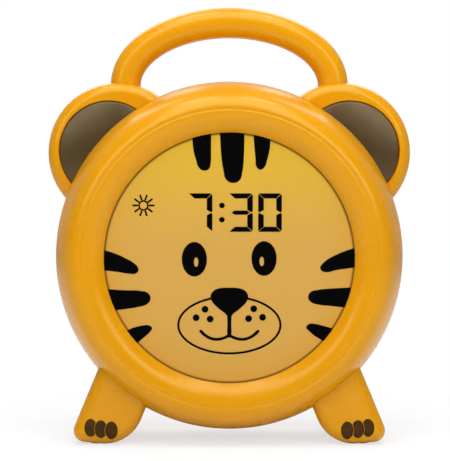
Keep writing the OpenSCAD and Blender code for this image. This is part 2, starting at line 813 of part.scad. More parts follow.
module ear_back(side) color("orange") to_side(side) difference() {
    union() {
        intersection() {
            ear_shell();
            ear_half(true);
        }
        rod(leg_screw, post_r, tenon_t / 2 + fit, ear_t / 2 - ear_wall / 2);
        rod(ear_screw, post_r, ear_split_y, ear_t / 2 - ear_wall / 2);
    }
    for (at = [leg_screw, ear_screw]) {
        rod(at, screw_hole_r, 0, ear_t);
        rod(at, screw_head_r + slip, ear_head_seat_y, ear_t);
    }
}

// Outline of the inlay's dome, shrunk by g, as [radius, depth]
function inlay_line(g) = let (dome_r = (inlay_r * inlay_r + inlay_dome * inlay_dome) / (2 * inlay_dome),
        half = asin((inlay_r - g) / (dome_r - g)))
    arc([0, inlay_edge_y - inlay_dome + dome_r], dome_r - g, -90, -90 + half);

module ear_inlay(side) color("saddlebrown") to_side(side) difference() {
    on_axis(inlay_at[0], body_z + inlay_at[1]) rotate_extrude() polygon(concat(inlay_line(0),
        [[inlay_r, inlay_floor_y - fit], [inlay_r - inlay_t, inlay_floor_y - fit]],
        reversed(inlay_line(inlay_t))));
    rod([0, 0], body_r + 2 * fit, -ear_t, ear_t);
}

// ---------- handle ----------

module bar_section(g = 0) round_rect(bar_w + 2 * g, bar_t + 2 * g, bar_round + g);

// Straight leg of the handle, grown by g, from radius r about the ear's centre up to height h
module leg_form(g, r, h) difference() {
    translate([leg_x, 0, ear_z]) linear_extrude(h) bar_section(g);
    rod([ear_x, ear_z - body_z], r, -bar_t, bar_t);
}

// Wedge above the arch's centre, whose sides are where the arch meets its shoulders
module arch_wedge() {
    reach = 2 * arch_top_r;
    translate([0, 0, arch_z - arch_drop]) rotate([90, 0, 0]) linear_extrude(2 * bar_t, center = true)
        polygon([[0, 0], [0.6 * reach, 0.8 * reach], [-0.6 * reach, 0.8 * reach]]);
}

module carry_handle() color("orange") {
    intersection() {
        translate([0, 0, arch_z - arch_drop]) rotate([90, 0, 0])
            rotate_extrude() translate([arch_top_r, 0]) bar_section();
        arch_wedge();
    }
    for (side = [-1, 1]) to_side(side) {
        difference() {
            translate([leg_x - arch_shoulder, 0, arch_z]) rotate([90, 0, 0])
                rotate_extrude(angle = 90) translate([arch_shoulder, 0]) bar_section();
            arch_wedge();
        }
        difference() {
            union() {
                leg_form(0, leg_end_r, arch_z - ear_z);
                translate([leg_x - tenon_w / 2, -tenon_t / 2, ear_z])
                    cube([tenon_w, tenon_t, leg_end_r + cut]);
            }
            rod([0, 0], root_r + ear_wall + fit, -tenon_t, tenon_t);
            rod(leg_screw, pilot_r, -ear_grip - slip, tenon_t);
        }
    }
}

// ---------- paws ----------

// Disc with rounded edges, its axis along Y
module puck(at, r) {
    half = paw_t / 2;
    translate([at[0], 0, at[1]]) rotate([-90, 0, 0]) rotate_extrude($fn = 36) polygon(concat(
        [[0, -half]], arc([r - paw_edge, -half + paw_edge], paw_edge, -90, 0, 5),
        arc([r - paw_edge, half - paw_edge], paw_edge, 0, 90, 5), [[0, half]]));
}

module paw(side) color("orange") to_side(side) difference() {
    union() {
        difference() {
            hull() for (c = paw_discs(0)) puck(c[0], c[1]);
            slab(-paw_t / 2 + paw_front_wall, paw_t / 2 - paw_wall) hull()
                for (c = paw_discs(paw_wall)) translate(c[0] + [0, pad_recess]) circle(c[1], $fn = 32);
            envelope(fit);
        }
        difference() {
            slab(-tongue_t / 2, tongue_t / 2) translate(paw_root) rotate(paw_splay)
                translate([-(paw_w - paw_wall) / 2, -12]) square([paw_w - paw_wall, 22]);
            envelope(fit);
        }
        slab(-tongue_t / 2, tongue_t / 2) paw_tongue_plan();
    }
    rod(paw_point(tongue_post_at) - [0, body_z], peg_r + fit, -tongue_t, tongue_t);
    translate([pad_x, 0, sole_z - cut]) linear_extrude(cut + pad_recess)
        round_rect(pad_w + 2 * fit, pad_l + 2 * fit, pad_round);
    slab(-paw_t, toe_y) for (k = [-1:1]) toe_plan(k, fit / 2);
}

module sole_pad(side) color("dimgray") to_side(side) difference() {
    translate([pad_x, 0, 0]) linear_extrude(pad_t) round_rect(pad_w, pad_l, pad_round - fit);
    for (k = [-3:3]) translate([pad_x - pad_w, k * groove_pitch - groove_w / 2, -cut])
        cube([2 * pad_w, groove_w, cut + 0.5]);
}

// One toe, an oval that the next toe inwards overlaps
module toe_plan(k, g = 0) difference() {
    translate(toe_at + k * toe_step) polygon(ellipse(toe_w / 2 + g, toe_h / 2 + g));
    if (k > -1) translate(toe_at + (k - 1) * toe_step)
        polygon(ellipse(toe_w / 2 + toe_gap - g, toe_h / 2 + toe_gap - g));
}

module toe_pads(side) color("saddlebrown") to_side(side)
    for (k = [-1:1]) slab(toe_y - toe_t, toe_y) toe_plan(k);

// ---------- window and light ----------

module window() color("goldenrod") rod([0, 0], seat_r - fit, window_y, window_y + window_t);

module lcd_panel() color("lightgray") slab(lcd_y, lcd_y + lcd_t) translate([0, body_z - lcd_drop]) polygon([
    for (q = [[1, 1], [-1, 1], [-1, -1], [1, -1]]) for (k = [0, 1])
        let (first = (q[0] * q[1] > 0) == (k == 0))
        [q[0] * (lcd_w / 2 - (first ? 0 : lcd_chamfer)), q[1] * (lcd_h / 2 - (first ? lcd_chamfer : 0))]]);

// Slot through which the display's ribbon passes, from depth y0 to y1
module ribbon_slot(y0, y1) slab(y0, y1) translate([0, body_z + display_ribbon_z])
    square([display_ribbon_w + cut, display_slot_h], center = true);

module light_guide() color("white") difference() {
    rod([0, 0], seat_r - slip, guide_y, guide_back_y);
    ribbon_slot(guide_y - cut, guide_back_y + cut);
}

module reflector_tray() color("white") difference() {
    union() {
        rim_r = seat_r - slip;
        on_axis() rotate_extrude() polygon([
            [0, tray_floor_y], [tray_cup_r, tray_floor_y], [tray_cup_r, guide_back_y + fit],
            [rim_r, guide_back_y + fit], [rim_r, sleeve_end_y + fit], [sleeve_r, sleeve_end_y + fit],
            [sleeve_r, sleeve_end_y + fit + tray_lug_t], [rim_r, sleeve_end_y + fit + tray_lug_t],
            [rim_r, tray_floor_y + tray_floor_t], [0, tray_floor_y + tray_floor_t]]);
        slab(sleeve_end_y + fit, sleeve_end_y + fit + tray_lug_t) translate([0, body_z])
            for (a = tray_lug_angles) rotate(a) {
                translate([rim_r, -tray_boss_r]) square([tray_lug_r - rim_r, 2 * tray_boss_r]);
                translate([tray_lug_r, 0]) circle(tray_boss_r);
            }
        for (sx = [-1, 1], sz = [-1, 1]) rod([sx * main_post[0], sz * main_post[1]], board_post_r,
            tray_floor_y + tray_floor_t / 2, main_board_y);
    }
    for (a = tray_lug_angles) rod(polar(tray_lug_r, a), screw_hole_r, sleeve_end_y - cut, tray_floor_y);
    for (sx = [-1, 1], sz = [-1, 1])
        rod([sx * main_post[0], sz * main_post[1]], pilot_r, main_board_y - post_h, main_board_y + cut);
    rod([led_lead_x, led_z], led_lead_hole_r, tray_floor_y - cut, main_board_y);
    ribbon_slot(tray_floor_y - cut, main_board_y);
}

module led_board() color("darkgreen") slab(tray_floor_y - led_board_t, tray_floor_y)
    translate([0, body_z + led_z]) square([led_board_w, led_board_h], center = true);

module night_light_leds() color("lightyellow") for (i = [0:led_count - 1]) {
    at = [(i - (led_count - 1) / 2) * led_board_w / (led_count + 1), led_z];
    y = tray_floor_y - led_board_t;
    on_back(at, y - led_t / 2) linear_extrude(led_t / 2) square([led_w, led_h], center = true);
    rod(at, led_dome_r, y - led_t, y - led_t / 2);
}

// ---------- electronics ----------

module main_board() color("darkgreen") difference() {
    slab(main_board_y, main_board_back_y) translate([0, body_z])
        round_rect(main_board_w, main_board_h, main_board_corner);
    for (sx = [-1, 1], sz = [-1, 1])
        rod([sx * main_post[0], sz * main_post[1]], screw_hole_r,
            main_board_y - cut, main_board_back_y + cut);
}

// Block on the main board, of a size given as [width, height, thickness]
module chip(at, size) on_back(at, main_board_back_y) linear_extrude(size[2])
    square([size[0], size[1]], center = true);

module main_board_parts() color("dimgray") {
    chip(clock_chip_at, clock_chip);
    for (at = driver_chips_at) chip(at, driver_chip);
    chip(regulator_at, regulator);
    chip(power_plug_at, power_plug);
    chip(speaker_plug_at, speaker_plug);
    chip([ribbon_x, ribbon_plug_up], [ribbon_w + ribbon_plug_rim, ribbon_plug_h, ribbon_plug_t]);
    chip(display_plug_at, [display_ribbon_w + ribbon_plug_rim, ribbon_plug_h, ribbon_plug_t]);
    for (at = capacitors_at)
        rod(at, capacitor_r, main_board_back_y, main_board_back_y + capacitor_h);
}

module control_board() color("darkgreen") difference() {
    slab(control_y, control_back_y) translate([0, body_z]) {
        translate([0, row_z]) square([control_w, control_h], center = true);
        for (sx = [-1, 1]) translate([sx * (control_w - control_leg_w) / 2, (row_z + control_leg_z) / 2])
            square([control_leg_w, row_z - control_leg_z], center = true);
    }
    for (sx = [-1, 1])
        rod([sx * control_post[0], control_post[1]], screw_hole_r, control_y - cut, control_back_y + cut);
}

module tact_switches() color("dimgray") for (i = [0:4]) {
    on_back(button_at(i), control_back_y) linear_extrude(tact_y - tact_plunger_h - control_back_y)
        square(tact_w, center = true);
    rod(button_at(i), tact_plunger_r, tact_y - tact_plunger_h, tact_y);
}

module push_button(i) color("darkorange") {
    difference() {
        rod(button_at(i), button_r, panel_inner_y - fit, button_top_y);
        on_back(button_at(i), button_top_y + button_dish_r - button_dish) sphere(button_dish_r, $fn = 128);
    }
    rod(button_at(i), button_flange_r, panel_inner_y - fit - button_flange_t, panel_inner_y - fit);
    rod(button_at(i), button_stem_r, button_stem_y, panel_inner_y - fit - button_flange_t);
}

module slide_switch_body() color("silver") on_back([-switch_x, switch_z], control_back_y)
    linear_extrude(switch_body_t) square([switch_body_w, switch_body_h], center = true);

module alarm_switch() color("darkorange") on_back([-switch_x - switch_travel / 2, switch_z], 0) {
    lever_y = control_back_y + switch_body_t + slip;
    flange_y = panel_inner_y - fit - knob_flange_t;
    top_y = button_top_y - ridge_h;
    translate([0, 0, lever_y]) linear_extrude(flange_y - lever_y) square(lever_w, center = true);
    translate([0, 0, flange_y]) linear_extrude(knob_flange_t)
        square([knob_flange_w, knob_flange_h], center = true);
    translate([0, 0, panel_inner_y - fit]) linear_extrude(top_y - panel_inner_y + fit)
        square([knob_w, knob_h], center = true);
    for (k = [-1:1]) translate([ridge_pitch * k, 0, top_y]) linear_extrude(ridge_h)
        square([ridge_w, knob_h], center = true);
}

module usb_socket() color("silver") on_back([switch_x, switch_z], control_back_y) difference() {
    linear_extrude(socket_y - control_back_y) round_rect(socket_w, socket_h, socket_round);
    translate([0, 0, socket_floor]) linear_extrude(socket_y - control_back_y) difference() {
        round_rect(socket_w - 2 * socket_wall, socket_h - 2 * socket_wall, socket_round - socket_wall);
        square([socket_tongue_w, socket_tongue_t], center = true);
    }
}

// Basket, magnet and rim, as [radius, height above the rim's face]
module loudspeaker() color("dimgray") on_back([0, speaker_z], speaker_y) {
    r = speaker_d / 2;
    basket_z = -speaker_rim_t - speaker_basket_h;
    rotate_extrude() polygon([
        [0, -speaker_h], [speaker_magnet_r, -speaker_h], [speaker_magnet_r, basket_z],
        [r - speaker_lip / 2, -speaker_rim_t], [r, -speaker_rim_t], [r, 0],
        [r - speaker_lip, 0], [r - speaker_lip, -paper_t - slip], [speaker_bowl_r, -speaker_bowl],
        [0, -speaker_bowl]]);
}

// Paper cone with a domed cap at its middle
module speaker_cone() color("gray") on_back([0, speaker_z], speaker_y) {
    r = speaker_d / 2 - speaker_lip - slip;
    fold = 2 * paper_t;
    rotate_extrude() polygon([
        [0, -paper_drop], [dust_cap_r, -paper_drop], [r - fold, -paper_t - fit], [r, -paper_t - fit],
        [r, -fit], [r - fold, -fit], [dust_cap_r, paper_t - paper_drop],
        [dust_cap_r - fold, paper_t - paper_drop + fold], [0, paper_t - paper_drop + 1.5 * fold]]);
}

// ---------- battery bay ----------

module battery_tray() color("dimgray") difference() {
    union() {
        on_back([0, bay_z], bay_floor_y - bay_wall) linear_extrude(bay_depth + bay_wall - fit)
            round_rect(bay_w + 2 * bay_wall, bay_h + 2 * bay_wall, bay_corner);
        on_back([0, bay_z], bay_post_y - fit - bay_lug_t) linear_extrude(bay_lug_t)
            round_rect(2 * (bay_post[0] + bay_lug_r), 2 * bay_lug_r + cut, bay_lug_r);
    }
    on_back([0, bay_z], bay_floor_y) linear_extrude(bay_depth + cut) square([bay_w, bay_h], center = true);
    for (sx = [-1, 1]) rod([sx * bay_post[0], bay_post[1]], screw_hole_r, bay_floor_y, frame_y);
}

module battery_cells() color("gray") for (row = cell_rows())
    translate([row[1] * cell_shift, cell_y, row[0]]) rotate([0, row[1] * 90, 0]) {
        translate([0, 0, -cell_l / 2]) cylinder(r = cell_d / 2, h = cell_l - cell_tip_l);
        translate([0, 0, cell_l / 2 - cell_tip_l]) cylinder(r = cell_tip_r, h = cell_tip_l);
    }

module battery_springs() color("silver") for (row = cell_rows())
    translate([-row[1] * spring_x, cell_y, row[0]]) mirror([row[1] < 0 ? 1 : 0, 0, 0])
        tube(coil(spring_l), spring_wire, 6);

// Contact plates: two single ones for the leads, and two that join neighbouring cells
module battery_contacts() color("silver") for (c = [[-1, -1, -1], [1, -1, 0], [-1, 0, 1], [1, 1, 1]])
    translate([c[0] * (bay_w / 2 - contact_t / 2), cell_y, body_z + bay_z + (c[1] + c[2]) / 2 * cell_pitch])
        cube([contact_t, contact_w, contact_w + (c[2] - c[1]) * cell_pitch], center = true);

module battery_door() color("orange") difference() {
    union() {
        on_back([0, bay_z], door_y) linear_extrude(door_t) intersection() {
            round_rect(door_w, door_h, door_corner);
            translate([0, -door_t / 2]) square([door_w, door_h], center = true);
        }
        hinge_bar(door_t / 2, door_w / 2);
        hinge_bar(hinge_pin_r, door_w / 2 + hinge_pin_l);
        rod(lobe_at, lobe_r, door_y, back_y);
        for (sx = [-1, 1]) on_back([door_rib_x * sx, bay_z], door_y - door_rib_d)
            linear_extrude(door_rib_d + door_t / 2)
                square([door_rib_t, door_h - 2 * door_rib_end], center = true);
    }
    rod(lobe_at, screw_hole_r, door_y - cut, back_y + cut);
    rod(lobe_at, screw_head_r + slip, back_y - door_screw_head_t, back_y + cut);
    for (k = [-3:3]) on_back([grip_pitch * k, bay_z + door_h / 2 - grip_drop], back_y - grip_depth)
        linear_extrude(cut) square([grip_w, grip_h], center = true);
}

module door_screw() color("silver") on_back(lobe_at, back_y - door_screw_head_t)
    screw(door_screw_l, door_screw_head_t - fit);

// ---------- fasteners ----------

module housing_screws() color("silver") for (a = housing_angles)
    on_back(polar(housing_r, a), housing_shelf_t) screw(housing_shelf_t + housing_grip);

module ear_screws() color("silver") for (side = [-1, 1], at = [leg_screw, ear_screw]) to_side(side)
    on_back(at, ear_head_seat_y) screw(ear_head_seat_y + ear_grip);

module tray_screws() color("silver") for (a = tray_lug_angles)
    on_back(polar(tray_lug_r, a), sleeve_end_y + fit + tray_lug_t) screw(tray_screw_l);

module board_screws() color("silver") {
    for (sx = [-1, 1], sz = [-1, 1])
        on_back([sx * main_post[0], sz * main_post[1]], main_board_back_y) screw(board_screw_l);
    for (sx = [-1, 1]) {
        on_back([sx * control_post[0], control_post[1]], control_y) mirror([0, 0, 1])
            screw(board_screw_l);
        on_back([sx * bay_post[0], bay_post[1]], bay_post_y - fit - bay_lug_t) mirror([0, 0, 1])
            screw(bay_screw_l);
    }
}

// ---------- leads and ribbons ----------

// Place on top of a plug on the main board, k to its side
function plug_top(at, size, k) = [at[0] + k, main_board_back_y + size[2], body_z + at[1]];

module battery_leads() color("firebrick") for (k = [-0.5, 0.5])
    lead([power_plug_at[0] + lead_pitch * k, bay_floor_y - bay_wall, body_z + bay_z + battery_lead_up],
        plug_top(power_plug_at, power_plug, lead_pitch * k), -lead_bow, short_bow);

module speaker_leads() color("dimgray") for (k = [-0.5, 0.5])
    lead([speaker_tab_pitch * k, speaker_back_y, body_z + speaker_z],
        plug_top(speaker_plug_at, speaker_plug, speaker_pin_pitch * k), -lead_bow);

module led_leads() color("firebrick") for (k = [-0.5, 0.5])
    lead([led_lead_x + led_lead_pitch * k, tray_floor_y, body_z + led_z],
        [led_lead_x + led_lead_pitch * k, main_board_back_y, body_z + main_board_h / 2 - main_board_corner],
        lead_bow, short_bow);

module display_ribbon() color("peru") {
    turn_y = tray_floor_y + tray_floor_t + display_turn;
    end = [main_board_back_y + ribbon_plug_t, display_plug_at[1]];
    ribbon(0, display_ribbon_w, concat([[lcd_y + fit, display_ribbon_z]],
        bezier([[turn_y, display_ribbon_z], [turn_y + ribbon_bow, display_ribbon_z],
            end + [lead_bow, 0], end + [cut, 0]]),
        [end]));
}

module control_ribbon() color("peru") {
    start = [control_y, row_z - ribbon_root];
    end = [main_board_back_y + ribbon_plug_t, ribbon_plug_up];
    ribbon(ribbon_x, ribbon_w, concat([start],
        bezier([start - [cut, 0], start - [ribbon_bow, 0], end + [ribbon_bow, 0], end + [cut, 0]]),
        [end]));
}

front_shell();
rear_shell();
ear_cup(-1);  // left_ear_cup
ear_cup(1);  // right_ear_cup
ear_back(-1);  // left_ear_back
ear_back(1);  // right_ear_back
ear_inlay(-1);  // left_ear_inlay
ear_inlay(1);  // right_ear_inlay
carry_handle();
paw(-1);  // left_paw
paw(1);  // right_paw
toe_pads(-1);  // left_toe_pads
toe_pads(1);  // right_toe_pads
sole_pad(-1);  // left_sole_pad
sole_pad(1);  // right_sole_pad
window();
lcd_panel();
light_guide();
reflector_tray();
led_board();
night_light_leds();
main_board();
main_board_parts();
control_board();
tact_switches();
push_button(0);  // mode_button
push_button(1);  // alarm_button
push_button(2);  // light_button
push_button(3);  // minus_button
push_button(4);  // plus_button
slide_switch_body();
alarm_switch();
usb_socket();
loudspeaker();
speaker_cone();
battery_tray();
battery_cells();
battery_springs();
battery_contacts();
battery_door();
door_screw();
housing_screws();
ear_screws();
tray_screws();
board_screws();
battery_leads();
speaker_leads();
led_leads();
display_ribbon();
control_ribbon();
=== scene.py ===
"""A round alarm clock for a child's room: a lit animal face in a drum that stands on two paws.

Builds the outer pieces around the fixed frame, gives every inner node its finish, and
sets a plain studio. All lengths are in metres unless a name or comment says millimetres.
"""

import math

import bmesh
import bpy
from bpy.props import FloatProperty, FloatVectorProperty, IntProperty
from mathutils import Matrix, Quaternion, Vector


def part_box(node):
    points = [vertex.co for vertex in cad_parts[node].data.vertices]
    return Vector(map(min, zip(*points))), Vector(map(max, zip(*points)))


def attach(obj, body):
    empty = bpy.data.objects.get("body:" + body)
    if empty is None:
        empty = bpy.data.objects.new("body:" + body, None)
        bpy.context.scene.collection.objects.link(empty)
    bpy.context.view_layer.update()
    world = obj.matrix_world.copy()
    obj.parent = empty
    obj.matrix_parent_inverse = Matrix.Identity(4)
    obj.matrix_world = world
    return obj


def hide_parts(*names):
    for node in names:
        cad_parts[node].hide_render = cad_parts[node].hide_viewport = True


bl_info = {
    "name": "Animal Alarm Clock",
    "version": (1, 0, 0),
    "blender": (4, 5, 0),
    "location": "View3D > Sidebar > Clock",
    "description": "Builds a round alarm clock with a lit animal face, two ears, a handle and two paws",
    "category": "Add Mesh",
}

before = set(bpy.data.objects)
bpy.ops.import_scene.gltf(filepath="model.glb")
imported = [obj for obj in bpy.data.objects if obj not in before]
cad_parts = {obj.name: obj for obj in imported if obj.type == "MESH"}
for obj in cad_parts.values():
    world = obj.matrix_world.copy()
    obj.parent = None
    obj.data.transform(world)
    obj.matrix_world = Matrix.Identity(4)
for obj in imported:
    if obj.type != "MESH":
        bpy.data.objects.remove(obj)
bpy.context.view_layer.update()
MM = 0.001
FIT = 0.1 * MM  # gap where one moulding lies against another
SHARP = math.radians(35)  # an edge that turns by more than this is a sharp one

# Places that come from the frame
FRONT_LOW, FRONT_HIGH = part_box("front_shell")
EAR_LOW, EAR_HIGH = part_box("right_ear_cup")
INLAY_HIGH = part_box("right_ear_inlay")[1]
HANDLE_LOW, HANDLE_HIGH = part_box("carry_handle")
SOLE_LOW, SOLE_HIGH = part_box("right_sole_pad")
TOES_LOW, TOES_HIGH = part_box("right_toe_pads")
DOOR_LOW, DOOR_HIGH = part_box("battery_door")
KEY_LOW, KEY_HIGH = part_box("light_button")
BODY_R = (FRONT_HIGH.x - FRONT_LOW.x) / 2
BODY_Z = (FRONT_HIGH.z + FRONT_LOW.z) / 2
FRONT_Y = FRONT_LOW.y
BACK_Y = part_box("rear_shell")[1].y
WINDOW_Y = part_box("window")[0].y


# ---------- values a user would change ----------

def srgb(red, green, blue):
    """A colour as it is shown, from 0 to 255, in the scene's own values."""
    shown = [c / 255 for c in (red, green, blue)]
    return [c / 12.92 if c <= 0.04045 else ((c + 0.055) / 1.055) ** 2.4 for c in shown] + [1.0]


def length(name, description, default):
    """A length that the user can set."""
    return FloatProperty(name=name, description=description, default=default, unit="LENGTH",
                         min=0, precision=5)


def angle(name, description, degrees):
    """An angle that the user can set."""
    return FloatProperty(name=name, description=description, default=math.radians(degrees),
                         subtype="ANGLE", min=0)


def colour(name, description, *shown):
    """A colour that the user can set."""
    return FloatVectorProperty(name=name, description=description, default=srgb(*shown),
                               subtype="COLOR", size=4, min=0, max=1)


class ClockSizes(bpy.types.PropertyGroup):
    """Sizes of the outer pieces"""

    wall: length("Wall", "Wall of the body's two shells", 2.4 * MM)
    window_radius: length("Window radius", "Radius of the opening in the front ring", 57.4 * MM)
    groove_radius: length("Groove radius", "Radius of the fine groove along the ring's crest", 68.1 * MM)
    groove_width: length("Groove width", "Width of the fine groove along the ring's crest", 2.1 * MM)
    lip_depth: length("Lip depth", "Depth from the crest back to the ring's inner edge", 4.96 * MM)
    groove_round: length("Groove rounding", "Rounding of the groove's edges and of its floor", 1.1 * MM)
    inner_tilt: angle("Inner tilt", "Tilt of the ring's slope just inside the groove", 5)
    outer_tilt: angle("Outer tilt", "Tilt of the ring's side just outside the groove", 14)
    nose_round: length("Nose rounding", "Rounding of the ring's outer side", 9 * MM)
    shoulder: length("Shoulder", "Depth of the straight, drafted part of the side", 13 * MM)
    draft: angle("Draft", "Slant of the side, so that the shell leaves its mould", 3.5)
    back_round: length("Back rounding", "Rounding of the back's edge", 24 * MM)
    seam: length("Seam", "Bevel on each side of the parting line", 0.35 * MM)
    ear_round: length("Ear rounding", "Rounding of an ear's rim", 5 * MM)
    inlay_dome: length("Inlay dome", "Height of the dome on an ear's inlay", 3.2 * MM)
    bar_round: length("Bar rounding", "Corner rounding of the handle's section", 6.4 * MM)
    paw_edge: length("Paw edge", "Rounding of a paw's front and rear edges", 5.2 * MM)
    print_height: length("Print height", "Thickness of the ink on the window", 0.05 * MM)
    soft_edge: length("Soft edge", "Rounding of small moulded edges", 0.4 * MM)
    steps: IntProperty(name="Steps", description="Faces round a full turn of the body",
                       default=216, min=48, max=360)


class ClockColours(bpy.types.PropertyGroup):
    """Colours of the finishes that show"""

    body: colour("Body", "Moulded body plastic", 217, 147, 2)
    keys: colour("Keys", "Push buttons and slide switch", 216, 128, 10)
    inlay: colour("Inlay", "Inlays in the ears and toes", 66, 47, 18)
    sole: colour("Sole", "Rubber under the paws", 36, 36, 37)
    window: colour("Window", "Tinted window over the light", 203, 156, 71)
    # Painted glow: a brighter window colour for the top, standing in for the light of the diodes behind it
    window_painted_glow: colour("Window top", "Window nearest the lit diodes", 213, 172, 32)
    # Painted shade: a darker window colour beside the ring, where the ring's recess shades the window
    window_painted_rim_shade: colour("Window rim", "Window beside the ring", 204, 148, 48)
    toe: colour("Toe", "Matt toes let into the paws", 68, 46, 14)
    ink: colour("Ink", "Printed face, stripes and figures", 2, 2, 2)
    floor: colour("Floor", "Studio floor", 242, 246, 251)


# ---------- mesh helpers ----------

def polar(centre, radius, turn):
    """Point at a distance and an angle from a centre."""
    return (centre[0] + radius * math.cos(turn), centre[1] + radius * math.sin(turn))


def placed(at, size):
    """Matrix that gives a shape of unit size its size and its place."""
    return Matrix.Translation(at) @ Matrix.Diagonal((*size, 1))


class Pen:
    """Draws a chain of edges in radius (X) and depth (Y), then turns it about the Y axis."""

    def __init__(self, radius, depth):
        self.bm = bmesh.new()
        self.first = self.tip = self.bm.verts.new((radius, depth, 0))

    def line(self, radius, depth):
        """Goes on in a straight line."""
        self.tip = bmesh.ops.extrude_vert_indiv(self.bm, verts=[self.tip])["verts"][0]
        self.tip.co = (radius, depth, 0)
        return self

    def arc(self, centre, radius, start, end, steps=8):
        """Goes on along an arc about centre, from one angle to another in degrees."""
        begin = Vector((*polar(centre, radius, math.radians(start)), 0))
        if (begin - self.tip.co).length > MM / 100:
            self.line(begin.x, begin.y)
        made = bmesh.ops.spin(self.bm, geom=[self.tip], cent=(*centre, 0), axis=(0, 0, 1),
                              angle=math.radians(end - start), steps=steps, use_duplicate=False)
        self.tip = next(v for v in made["geom_last"] if isinstance(v, bmesh.types.BMVert))
        return self

    def turn(self, steps, x=0.0, z=BODY_Z, closed=False):
        """Turns the chain once round and moves it to its place. A closed chain joins its ends."""
        if closed:
            self.bm.edges.new((self.tip, self.first))
        bmesh.ops.spin(self.bm, geom=self.bm.verts[:] + self.bm.edges[:], cent=(0, 0, 0),
                       axis=(0, 1, 0), angle=math.tau, steps=steps, use_merge=True,
                       use_duplicate=False)
        tidy(self.bm)
        bmesh.ops.translate(self.bm, verts=self.bm.verts[:], vec=(x, 0, z))
        return self.bm


def weld(bm, distance=MM / 1000):
    """Makes one point of those that lie together."""
    bmesh.ops.remove_doubles(bm, verts=bm.verts[:], dist=distance)
    return bm


def tidy(bm):
    """Closes seams and poles, and turns every face outwards."""
    weld(bm)
    bmesh.ops.recalc_face_normals(bm, faces=bm.faces[:])
    return bm


def flatten(bm, degrees):
    """Makes one face of those that lie in one plane, within an angle."""
    bmesh.ops.dissolve_limit(bm, angle_limit=math.radians(degrees), verts=bm.verts[:],
                             edges=bm.edges[:])
    return bm


def move(bm, matrix):
    """Moves, turns or scales a whole shape."""
    bmesh.ops.transform(bm, matrix=matrix, verts=bm.verts[:])
    return bm


def bevel(bm, geom, width, segments, affect="EDGES", clamp=False):
    """Rounds edges or corners."""
    bmesh.ops.bevel(bm, geom=geom, offset=width, offset_type="OFFSET", segments=segments,
                    profile=0.5, affect=affect, clamp_overlap=clamp, material=-1)
    return bm


def edges_along(bm, axis):
    """A box's four edges that run along an axis: 0, 1 or 2."""
    return [e for e in bm.edges if abs(e.verts[0].co[axis] - e.verts[1].co[axis]) > MM / 100]


def as_mesh(name, bm):
    """Hands a finished shape over to a mesh."""
    mesh = bpy.data.meshes.new(name)
    bm.to_mesh(mesh)
    bm.free()
    return mesh


def in_scene(name, data):
    """Puts a mesh, lamp or camera in the scene."""
    made = bpy.data.objects.new(name, data)
    bpy.context.scene.collection.objects.link(made)
    return made


def join(*parts):
    """Puts several meshes into one."""
    whole = bmesh.new()
    for part in parts:
        mesh = as_mesh("part", part)
        whole.from_mesh(mesh)
        bpy.data.meshes.remove(mesh)
    return whole


def mirrored(bm):
    """A copy on the other side of the middle, with its faces turned outwards again."""
    other = bm.copy()
    bmesh.ops.scale(other, vec=(-1, 1, 1), verts=other.verts[:])
    bmesh.ops.reverse_faces(other, faces=other.faces[:])
    return other


def combine(body, tool, operation="DIFFERENCE"):
    """Cuts, joins or trims one closed mesh with another."""
    objects = [in_scene("part", as_mesh("part", part)) for part in (body, tool)]
    change = objects[0].modifiers.new("Combine", "BOOLEAN")
    change.object, change.operation, change.solver = objects[1], operation, "MANIFOLD"
    result = bmesh.new()
    result.from_object(objects[0], bpy.context.evaluated_depsgraph_get())
    for part in objects:
        bpy.data.meshes.remove(part.data)
    return flatten(weld(result), 0.05)


def soften(bm, width, chosen, segments=3):
    """Rounds the sharp edges for whose two ends chosen() is true."""
    edges = [e for e in bm.edges if e.is_manifold and e.calc_face_angle() > SHARP
             and all(chosen(v.co) for v in e.verts)]
    return bevel(bm, edges, width, segments, clamp=True)


def rod(x, z, radius, low, high, steps=40):
    """Closed cylinder along Y, from one depth to another."""
    pen = Pen(0, low).line(radius, low).line(radius, high).line(0, high)
    return pen.turn(steps, x, z)


def block(x, z, width, height, low, high, corner=0.0, segments=6):
    """Closed box along Y with rounded corners, seen from the front."""
    bm = bmesh.new()
    place = placed((x, (low + high) / 2, z), (width, high - low, height))
    bmesh.ops.create_cube(bm, size=1, matrix=place)
    if corner:
        bevel(bm, edges_along(bm, 1), corner, segments)
    return bm


def cad_copy(node):
    """The node's own mesh with its loose triangles merged into whole faces."""
    bm = bmesh.new()
    bm.from_mesh(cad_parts[node].data)
    return flatten(weld(bm, MM / 500), 0.5)


def piece(name, bm, finish, replaces=(), body="housing", even=False):
    """Makes a finished piece that rides on a body and stands for the nodes it replaces."""
    made = in_scene(name, as_mesh(name, bm))
    made.data.shade_smooth()
    made.data.set_sharp_from_angle(angle=SHARP)
    made.data.materials.append(Finish.of(finish))
    if even:
        made.modifiers.new("Even shading", "WEIGHTED_NORMAL").keep_sharp = True
    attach(made, body)
    if replaces:
        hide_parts(*replaces)


def pair(make, part, finish):
    """Makes a piece of the right side, and its mirror image for the left."""
    right = make(bpy.context.scene.clock_sizes)
    for side, bm in (("left", mirrored(right)), ("right", right)):
        piece(f"{side}_{part}_skin", bm, finish, [f"{side}_{part}"], even=True)


# ---------- finishes ----------

def add_node(tree, kind, inputs=(), **settings):
    """Adds a shader node, with each input given a value or linked to another node's output."""
    made = tree.nodes.new("ShaderNode" + kind)
    for key, value in settings.items():
        setattr(made, key, value)
    for key, value in dict(inputs).items():
        if isinstance(value, bpy.types.NodeSocket):
            tree.links.new(value, made.inputs[key])
        else:
            made.inputs[key].default_value = value
    return made


